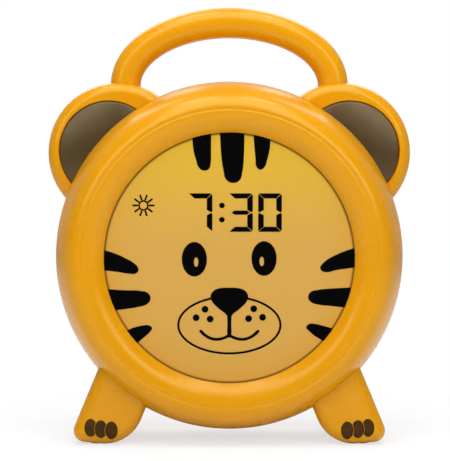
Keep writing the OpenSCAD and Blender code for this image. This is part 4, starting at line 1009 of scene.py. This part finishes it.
def stroke(points, width):
    """Outline of a line of even width with round ends."""
    points = [Vector(p) for p in points]
    left, right = [], []
    for i, point in enumerate(points):
        along = points[min(i + 1, len(points) - 1)] - points[max(i - 1, 0)]
        across = Vector((-along.y, along.x)).normalized() * width / 2
        left.append(point + across)
        right.append(point - across)

    def cap(point, across):
        """Half a circle that turns clockwise from one side of the line to the other."""
        return [point + Matrix.Rotation(math.radians(-turn), 2) @ across for turn in (45, 90, 135)]

    end = cap(points[-1], left[-1] - points[-1])
    start = cap(points[0], right[0] - points[0])
    return [tuple(p) for p in left + end + right[::-1] + start]


def flat_shape(*outlines, layer=1.0):
    """Thin mesh in X and Z, filled inside smooth or sharp outlines. One inside another is a hole.

    A layer below 1 is thinner, and passes under the prints that it meets.
    """
    curve = bpy.data.curves.new("outline", "CURVE")
    curve.dimensions, curve.fill_mode, curve.resolution_u = "2D", "BOTH", 8
    thick = bpy.context.scene.clock_sizes.print_height * layer
    curve.extrude = thick / MM / 2
    for points in outlines:
        spline = curve.splines.new("BEZIER")
        spline.bezier_points.add(len(points) - 1)
        spline.use_cyclic_u = True
        for knot, point in zip(spline.bezier_points, points):
            knot.co = (point[0], point[1], 0)
            knot.handle_left_type = knot.handle_right_type = "VECTOR" if len(point) > 2 else "AUTO"
    shape = bpy.data.objects.new("outline", curve)
    bm = bmesh.new()
    bm.from_mesh(shape.to_mesh())
    shape.to_mesh_clear()
    bpy.data.curves.remove(curve)
    upright = Matrix.Rotation(math.pi / 2, 4, "X") @ Matrix.Scale(MM, 4)
    return move(weld(bm, 1e-4), Matrix.Translation((0, WINDOW_Y - thick / 2, BODY_Z)) @ upright)


def brow_stripes():
    """Three stripes that hang from the window's top edge."""
    return [
        [on_top(-16.9), on_top(-12.6), on_top(-8.3), (-8.35, 49), (-8.5, 43.4), (-9.2, 40.9),
         (-11.5, 40), (-13.7, 41.1), (-15.2, 44.8), (-16.5, 50)],
        [on_top(-4.3), on_top(1.3), on_top(6.9), (6.7, 48), (5.95, 39.5), (4.7, 35.6), (1.7, 34.4),
         (-1.4, 35.8), (-2.7, 40), (-3.8, 48)],
        [on_top(11), on_top(14.9), on_top(18.7), (18.45, 50), (17.25, 45), (15.9, 41.4), (14.1, 40.4),
         (12.35, 41.7), (11.9, 45.5), (11.4, 50.5)],
    ]


def cheek_stripes():
    """Three stripes at each side of the face. Those on the right sit a little higher."""
    return [
        [on_side(-5.6, -1), on_side(-1, -1), on_side(3.7, -1), (-52.4, 2.2), (-47.8, 0.15), (-44, -2),
         (-41.8, -4.2), (-41.6, -5.7), (-42.8, -7), (-46, -7.1), (-50.5, -6.4)],
        [on_side(-23.85, -1), on_side(-19, -1), on_side(-14.2, -1), (-48, -14.7), (-40.5, -15),
         (-37.2, -16), (-36, -18.6), (-37.6, -21), (-41.5, -22.3), (-47.5, -23.3)],
        [on_side(-38.9, -1), on_side(-36.1, -1), on_side(-33.1, -1), (-44, -31.9), (-41.7, -31.25),
         (-38.9, -30.75), (-36.8, -30.8), (-35.4, -32), (-36, -33.4), (-38, -35.4), (-39.9, -37)],
        [on_side(-4.3, 1), on_side(0.2, 1), on_side(4.7, 1), (52, 2.95), (48.3, 1.3), (45.1, -0.4),
         (42.7, -2.4), (41.5, -4.3), (42.1, -5.7), (44, -6.4), (49.2, -5.4)],
        [on_side(-22.6, 1), on_side(-18, 1), on_side(-13.4, 1), (48.3, -13.8), (40, -14.6), (37.2, -15.5),
         (36, -17.9), (37.2, -20), (40.9, -21.3), (46.5, -21.9)],
        [on_side(-38.1, 1), on_side(-35.2, 1), on_side(-32.2, 1), (43.7, -31.2), (39, -30.1),
         (36.7, -30.1), (35.2, -31.7), (36.7, -33.6), (39, -35.6), (41.3, -37)],
    ]


def eye_print():
    """Two oval eyes, each with an oval left open in it."""
    return [[oval(-16, -0.5, 5.75, 7.9, 16), oval(-15.2, -1.8, 1, 2.15, 12)],
            [oval(15.85, -0.15, 5.75, 7.9, 16), oval(14.8, -1.5, 1, 2.15, 12)]]


def muzzle_print():
    """Nose, mouth, muzzle line and freckles: outlines, each with the layer that it is printed in."""
    half_nose = [(0, -13.5), (5, -13.9), (7.5, -15.2), (8.6, -17.4), (8, -19.7), (5.2, -22.8), (1.9, -25.4)]
    nose = half_nose + [(0.7, -26.6), (-0.7, -26.6)] + flip(half_nose[1:])[::-1]
    half_smile = [(0.4, -35.7), (2.8, -36.7), (5.7, -37.2), (8.5, -36.75), (11, -35.4), (13.1, -33.5)]
    smile = flip(half_smile)[::-1] + half_smile
    gap, steps = 16, 32
    turns = [math.radians(gap + k * (360 - 2 * gap) / steps) for k in range(steps + 1)]
    muzzle = [(23.35 * math.sin(a), 13 * math.cos(a) - 30.65) for a in turns]
    shapes = [([nose], 1), ([stroke([(0, -25), (0, -30), (0, -35.4)], 1.8)], 0.8),
              ([stroke(smile, 1.35)], 0.6), ([stroke(muzzle, 1)], 0.6)]
    for side, rise in ((-1, 0), (1, 0.2)):
        for x, z in ((11.15, -23.4), (15.2, -27.3), (8.8, -27.9)):
            shapes.append(([oval(side * x, z + rise, 1.55, 1.55, 8)], 1))
    return shapes


# The figures of the time, in millimetres
FIGURES = (("7", -18.55), ("3", -0.1), ("0", 13.15))
FIGURE_FOOT = 12.05
FIGURE_H = 17.55
FIGURE_W = 10.8
COLUMN = 2.55
BAR = 2.3
SLIT = 0.1
SUN_RAYS = 10
RAY_WIDTH = 0.84
BARS = {"7": "abc", "3": "abcdg", "0": "abcdef"}


def bar_outline(name):
    """Outline of one of a figure's seven bars, from the figure's lower left corner."""
    w, h, t, b, m, slit = FIGURE_W, FIGURE_H, COLUMN, BAR, FIGURE_H / 2, SLIT
    upper = [(w - t, h - b - slit, 1), (w - 0.3, h - 2 * slit - 0.2, 1), (w, h - slit - 0.7, 1),
             (w, m + slit + 0.5, 1), (w - 0.55, m + slit, 1), (w - t, m + b / 2 + slit / 2, 1)]
    top = [(slit, h, 1), (w - 0.8, h, 1), (w - 0.45, h - 0.2, 1), (w - t - slit, h - b, 1),
           (t + slit, h - b, 1)]
    middle = [(t / 2 - 0.3, m, 1), (t, m + b / 2 - 0.2, 1), (w - t - slit, m + b / 2 - 0.2, 1),
              (w - t / 2 - slit, m, 1), (w - t - slit, m - b / 2 + 0.2, 1), (t, m - b / 2 + 0.2, 1)]
    bars = {"a": top, "b": upper, "g": middle}
    bars["c"] = [(x, h - z, 1) for x, z, _ in upper]
    bars["d"] = [(x, h - z, 1) for x, z, _ in top]
    bars["e"] = [(w - x, h - z, 1) for x, z, _ in upper]
    bars["f"] = [(w - x, z, 1) for x, z, _ in upper]
    return bars[name]


def time_print():
    """Half past seven in seven-bar figures, and a small sun beside them."""
    shapes = []
    for figure, left in FIGURES:
        for bar in BARS[figure]:
            shapes.append([[(x + left, z + FIGURE_FOOT, 1) for x, z, _ in bar_outline(bar)]])
    shapes += [[oval(-3.4, z, 1.3, 1.25, 8)] for z in (24.1, 17.6)]
    sun = Vector((-39.2, 24.1))
    shapes.append([oval(*sun, 2.4, 2.4, 12), oval(*sun, 1.65, 1.65, 12)])
    for k in range(SUN_RAYS):
        ray = Vector(polar((0, 0), 1, math.tau * k / SUN_RAYS))
        across = Vector((ray.y, -ray.x)) * RAY_WIDTH / 2
        corners = ((2.5, -1), (2.5, 1), (5.1, 1), (5.1, -1))
        shapes.append([[(*(sun + ray * r + across * side), 1) for r, side in corners]])
    return shapes


class CLOCK_OT_face_print(bpy.types.Operator):
    """Stripes, eyes, muzzle and the shown time, printed on the window"""

    bl_idname = "clock.face_print"
    bl_label = "Face Print"

    def execute(self, context):
        prints = {"stripe_print": [([s], 1) for s in brow_stripes() + cheek_stripes()],
                  "eye_print": [(eye, 1) for eye in eye_print()], "muzzle_print": muzzle_print(),
                  "time_print": [(shape, 1) for shape in time_print()]}
        for name, shapes in prints.items():
            bm = join(*(flat_shape(*outlines, layer=layer) for outlines, layer in shapes))
            piece(name, tidy(bm), "print_ink")
        return {"FINISHED"}


# ---------- controls ----------

SIGN_RISE = 6  # how many times as thick as the ink a button's raised sign is
DISH = 0.5 * MM
# A button's dished top, in millimetres: radius, and height above the middle of the dish
KEY_TOP = ((1.4, 0.05), (2.6, 0.22), (3.4, 0.44))
KEY_EDGE = 0.5 * MM
STEM_R = 1.6 * MM
# Where a button's flange starts and ends, from the foot of its stem
FLANGE = (1.6 * MM, 2.8 * MM)


def key(x):
    """Round push button with a dished top, a flange and a stem."""
    top, flange, neck = KEY_HIGH.y, KEY_LOW.y + FLANGE[0], KEY_LOW.y + FLANGE[1]
    pen = Pen(0, top - DISH)
    for radius, rise in KEY_TOP:
        pen.line(radius * MM, top - DISH + rise * MM)
    pen.arc((KEY_R - KEY_EDGE, top - KEY_EDGE), KEY_EDGE, 90, 0, 5)
    pen.line(KEY_R, neck).line(KEY_HIGH.x, neck).line(KEY_HIGH.x, flange)
    pen.line(STEM_R, flange).line(STEM_R, KEY_LOW.y).line(0, KEY_LOW.y)
    return pen.turn(48, x, PANEL["z"])


def key_signs():
    """A clock, a bell, a moon, a minus and a plus, in millimetres from each button's centre."""
    bell = [(0, 1.9), (0.75, 1.45), (1.0, 0.3), (1.25, -0.6), (1.6, -1.05, 1), (-1.6, -1.05, 1),
            (-1.25, -0.6), (-1.0, 0.3), (-0.75, 1.45)]
    moon = [(0.5, 1.75, 1), (-0.9, 1.35), (-1.6, 0), (-0.9, -1.35), (0.5, -1.75, 1), (-0.35, -0.95),
            (-0.65, 0), (-0.35, 0.95)]
    bar = [(-1.5, 0.3, 1), (1.5, 0.3, 1), (1.5, -0.3, 1), (-1.5, -0.3, 1)]
    arms = [(-1.5, 0.3, 1), (-0.3, 0.3, 1), (-0.3, 1.5, 1), (0.3, 1.5, 1), (0.3, 0.3, 1), (1.5, 0.3, 1)]
    plus = arms + [(-x, -z, 1) for x, z, _ in arms]
    hands = [(-0.2, 1.1, 1), (0.2, 1.1, 1), (0.2, 0.2, 1), (0.95, 0.2, 1), (0.95, -0.2, 1), (-0.2, -0.2, 1)]
    return {"mode": [[oval(0, 0, 1.8, 1.8), oval(0, 0, 1.4, 1.4)], [hands]],
            "alarm": [[bell], [oval(0, -1.55, 0.35, 0.3, 8)]], "light": [[moon]],
            "minus": [[bar]], "plus": [[plus]]}


class CLOCK_OT_keys(bpy.types.Operator):
    """Five push buttons with raised signs"""

    bl_idname = "clock.keys"
    bl_label = "Push Buttons"

    def execute(self, context):
        signs = key_signs()
        home = Matrix.Translation((0, -WINDOW_Y, -BODY_Z))
        raised = Matrix.Rotation(math.pi, 4, "Z") @ Matrix.Diagonal((1, SIGN_RISE, 1, 1)) @ home
        for name, x in KEY_X.items():
            piece(f"{name}_key", key(x), "key_plastic", [f"{name}_button"], f"{name}_key")
            sign = join(*(flat_shape(*outlines) for outlines in signs[name]))
            move(sign, Matrix.Translation((x, KEY_HIGH.y - DISH, PANEL["z"])) @ raised)
            piece(f"{name}_sign", tidy(sign), "toe_plastic", (), f"{name}_key")
        return {"FINISHED"}


class CLOCK_OT_back_parts(bpy.types.Operator):
    """Battery door, slide switch, power socket and outer screws"""

    bl_idname = "clock.back_parts"
    bl_label = "Back Parts"

    def execute(self, context):
        # Node, piece, finish, slot, body, and the rounding of its outer edges in millimetres
        parts = (("battery_door", "battery_door_skin", "body_plastic", "body_plastic", "door", 0.35),
                 ("alarm_switch", "alarm_switch_knob", "key_plastic", "button_plastic", "switch_knob", 0.15),
                 ("usb_socket", "power_socket", "steel", "steel", "housing", 0.08),
                 ("door_screw", "door_screw_skin", "steel", "steel", "door", 0.1),
                 ("ear_screws", "ear_screws_skin", "steel", "steel", "housing", 0.1))
        for node, name, finish, slot, body, width in parts:
            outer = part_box(node)[1].y - 0.4 * MM
            bm = soften(cad_copy(node), width * MM, lambda co, outer=outer: co.y > outer, 2)
            piece(name, bm, finish, [node], body, even=True)
        return {"FINISHED"}


class CLOCK_OT_insides(bpy.types.Operator):
    """Finishes of the window and of everything inside the housing"""

    bl_idname = "clock.insides"
    bl_label = "Insides"

    def execute(self, context):
        for node, finish in INNER.items():
            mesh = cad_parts[node].data
            mesh.materials.clear()
            mesh.materials.append(Finish.of(finish))
        return {"FINISHED"}


# ---------- studio ----------

WHITE = (1, 1, 1, 1)
LAMPS_AIM = (0, 0, 0.1)
LENS = 148.8
SENSOR = 36
CAMERA_X = -0.002
CAMERA_AT = (CAMERA_X, -0.8991, BODY_Z + 0.0506)
CAMERA_AIM = (CAMERA_X, 0, BODY_Z + 0.01135)


def aim(made, at, target, roll=0.0):
    """Puts a lamp or camera at a place and points it at a target."""
    view = (Vector(target) - Vector(at)).to_track_quat("-Z", "Y")
    made.location = at
    made.rotation_euler = (view @ Quaternion((0, 0, 1), math.radians(roll))).to_euler()


def lamp(name, at, size, power, roll=0.0):
    """Rectangular soft light of a given size and power, rolled about its own axis."""
    light = bpy.data.lights.new(name, "AREA")
    light.shape, light.size, light.size_y, light.energy = "RECTANGLE", *size, power
    aim(in_scene(name, light), at, LAMPS_AIM, roll)


def studio_floor(colours):
    """Matt white floor that fades into the white background, and keeps the soft shadow."""
    finish = Finish("studio_floor", colours.floor, 0.9, Specular_IOR_Level=0.0).tint(0.01, 4)
    near, far, least = 0.1, 0.2, 0.68
    clear = finish.spread(finish.distance(finish.place), least, 1.0, near, far)
    share = finish.math("MULTIPLY", clear, finish.node("LightPath").outputs["Is Camera Ray"])
    glow = finish.node("Emission", {"Color": WHITE, "Strength": 1.0}).outputs[0]
    blend = finish.node("MixShader", {0: share, 1: finish.shader.outputs[0], 2: glow})
    finish.tree.links.new(blend.outputs[0], finish.tree.nodes["Material Output"].inputs["Surface"])
    return finish.material


def studio_world():
    """Pale surroundings, dimmer behind the camera, and white where the camera looks past the clock."""
    world = bpy.data.worlds.new("studio")
    world.use_nodes = True
    bpy.context.scene.world = world
    tree = world.node_tree
    place = add_node(tree, "TexCoord").outputs["Generated"]
    depth = add_node(tree, "SeparateXYZ", {0: place}).outputs["Y"]
    level = add_node(tree, "MapRange", {"Value": depth, "From Min": -0.6, "From Max": 0.7,
                                        "To Min": 0.12, "To Max": 0.44}, interpolation_type="SMOOTHSTEP")
    ambient = tree.nodes["Background"]
    ambient.inputs["Color"].default_value = WHITE
    tree.links.new(level.outputs["Result"], ambient.inputs["Strength"])
    white = add_node(tree, "Background", {"Color": WHITE}).outputs[0]
    camera_ray = add_node(tree, "LightPath").outputs["Is Camera Ray"]
    blend = add_node(tree, "MixShader", {0: camera_ray, 1: ambient.outputs[0], 2: white})
    tree.links.new(blend.outputs[0], tree.nodes["World Output"].inputs["Surface"])


class CLOCK_OT_stage(bpy.types.Operator):
    """Floor, lamps, surroundings and camera"""

    bl_idname = "clock.stage"
    bl_label = "Stage"

    def execute(self, context):
        bm = bmesh.new()
        bmesh.ops.create_circle(bm, cap_ends=True, segments=96, radius=3)
        floor = in_scene("floor", as_mesh("floor", bm))
        floor.data.materials.append(studio_floor(context.scene.clock_colours))
        studio_world()
        lamp("overhead", (0, -0.3, 0.6), (0.5, 0.35), 2.1)
        for side, name, power in ((-1, "left", 1.3), (1, "right", 1.55)):
            lamp(f"{name}_softbox", (side * 0.36, -0.6, 0.44), (0.2, 0.6), power, side * 45)
            lamp(f"{name}_top_lamp", (side * 0.13, -0.06, 0.72), (0.16, 0.16), 0.55)
            lamp(f"{name}_rear_lamp", (side * 0.27, 0.6, 0.75), (0.4, 0.4), 1.7)
        camera = in_scene("camera", bpy.data.cameras.new("camera"))
        camera.data.lens, camera.data.sensor_width = LENS, SENSOR
        aim(camera, CAMERA_AT, CAMERA_AIM)
        context.scene.camera = camera
        context.scene.view_settings.view_transform = "Standard"
        return {"FINISHED"}


# ---------- add-on ----------

OPERATORS = (CLOCK_OT_front_ring, CLOCK_OT_rear_cover, CLOCK_OT_ears, CLOCK_OT_handle, CLOCK_OT_paws,
             CLOCK_OT_face_print, CLOCK_OT_keys, CLOCK_OT_back_parts, CLOCK_OT_insides, CLOCK_OT_stage)


class CLOCK_PT_pieces(bpy.types.Panel):
    """Lists the clock's pieces in the sidebar"""

    bl_idname = "CLOCK_PT_pieces"
    bl_label = "Alarm Clock"
    bl_space_type = "VIEW_3D"
    bl_region_type = "UI"
    bl_category = "Clock"

    def draw(self, context):
        for group in (context.scene.clock_sizes, context.scene.clock_colours):
            box = self.layout.box()
            for name in group.__annotations__:
                box.prop(group, name)
        for operator in OPERATORS:
            self.layout.operator(operator.bl_idname)


CLASSES = (ClockSizes, ClockColours, *OPERATORS, CLOCK_PT_pieces)


def register():
    for cls in CLASSES:
        bpy.utils.register_class(cls)
    bpy.types.Scene.clock_sizes = bpy.props.PointerProperty(type=ClockSizes)
    bpy.types.Scene.clock_colours = bpy.props.PointerProperty(type=ClockColours)


def unregister():
    del bpy.types.Scene.clock_sizes, bpy.types.Scene.clock_colours
    for cls in reversed(CLASSES):
        bpy.utils.unregister_class(cls)


def main():
    register()
    for operator in OPERATORS:
        group, name = operator.bl_idname.split(".")
        getattr(getattr(bpy.ops, group), name)()


if __name__ == "__main__":
    main()
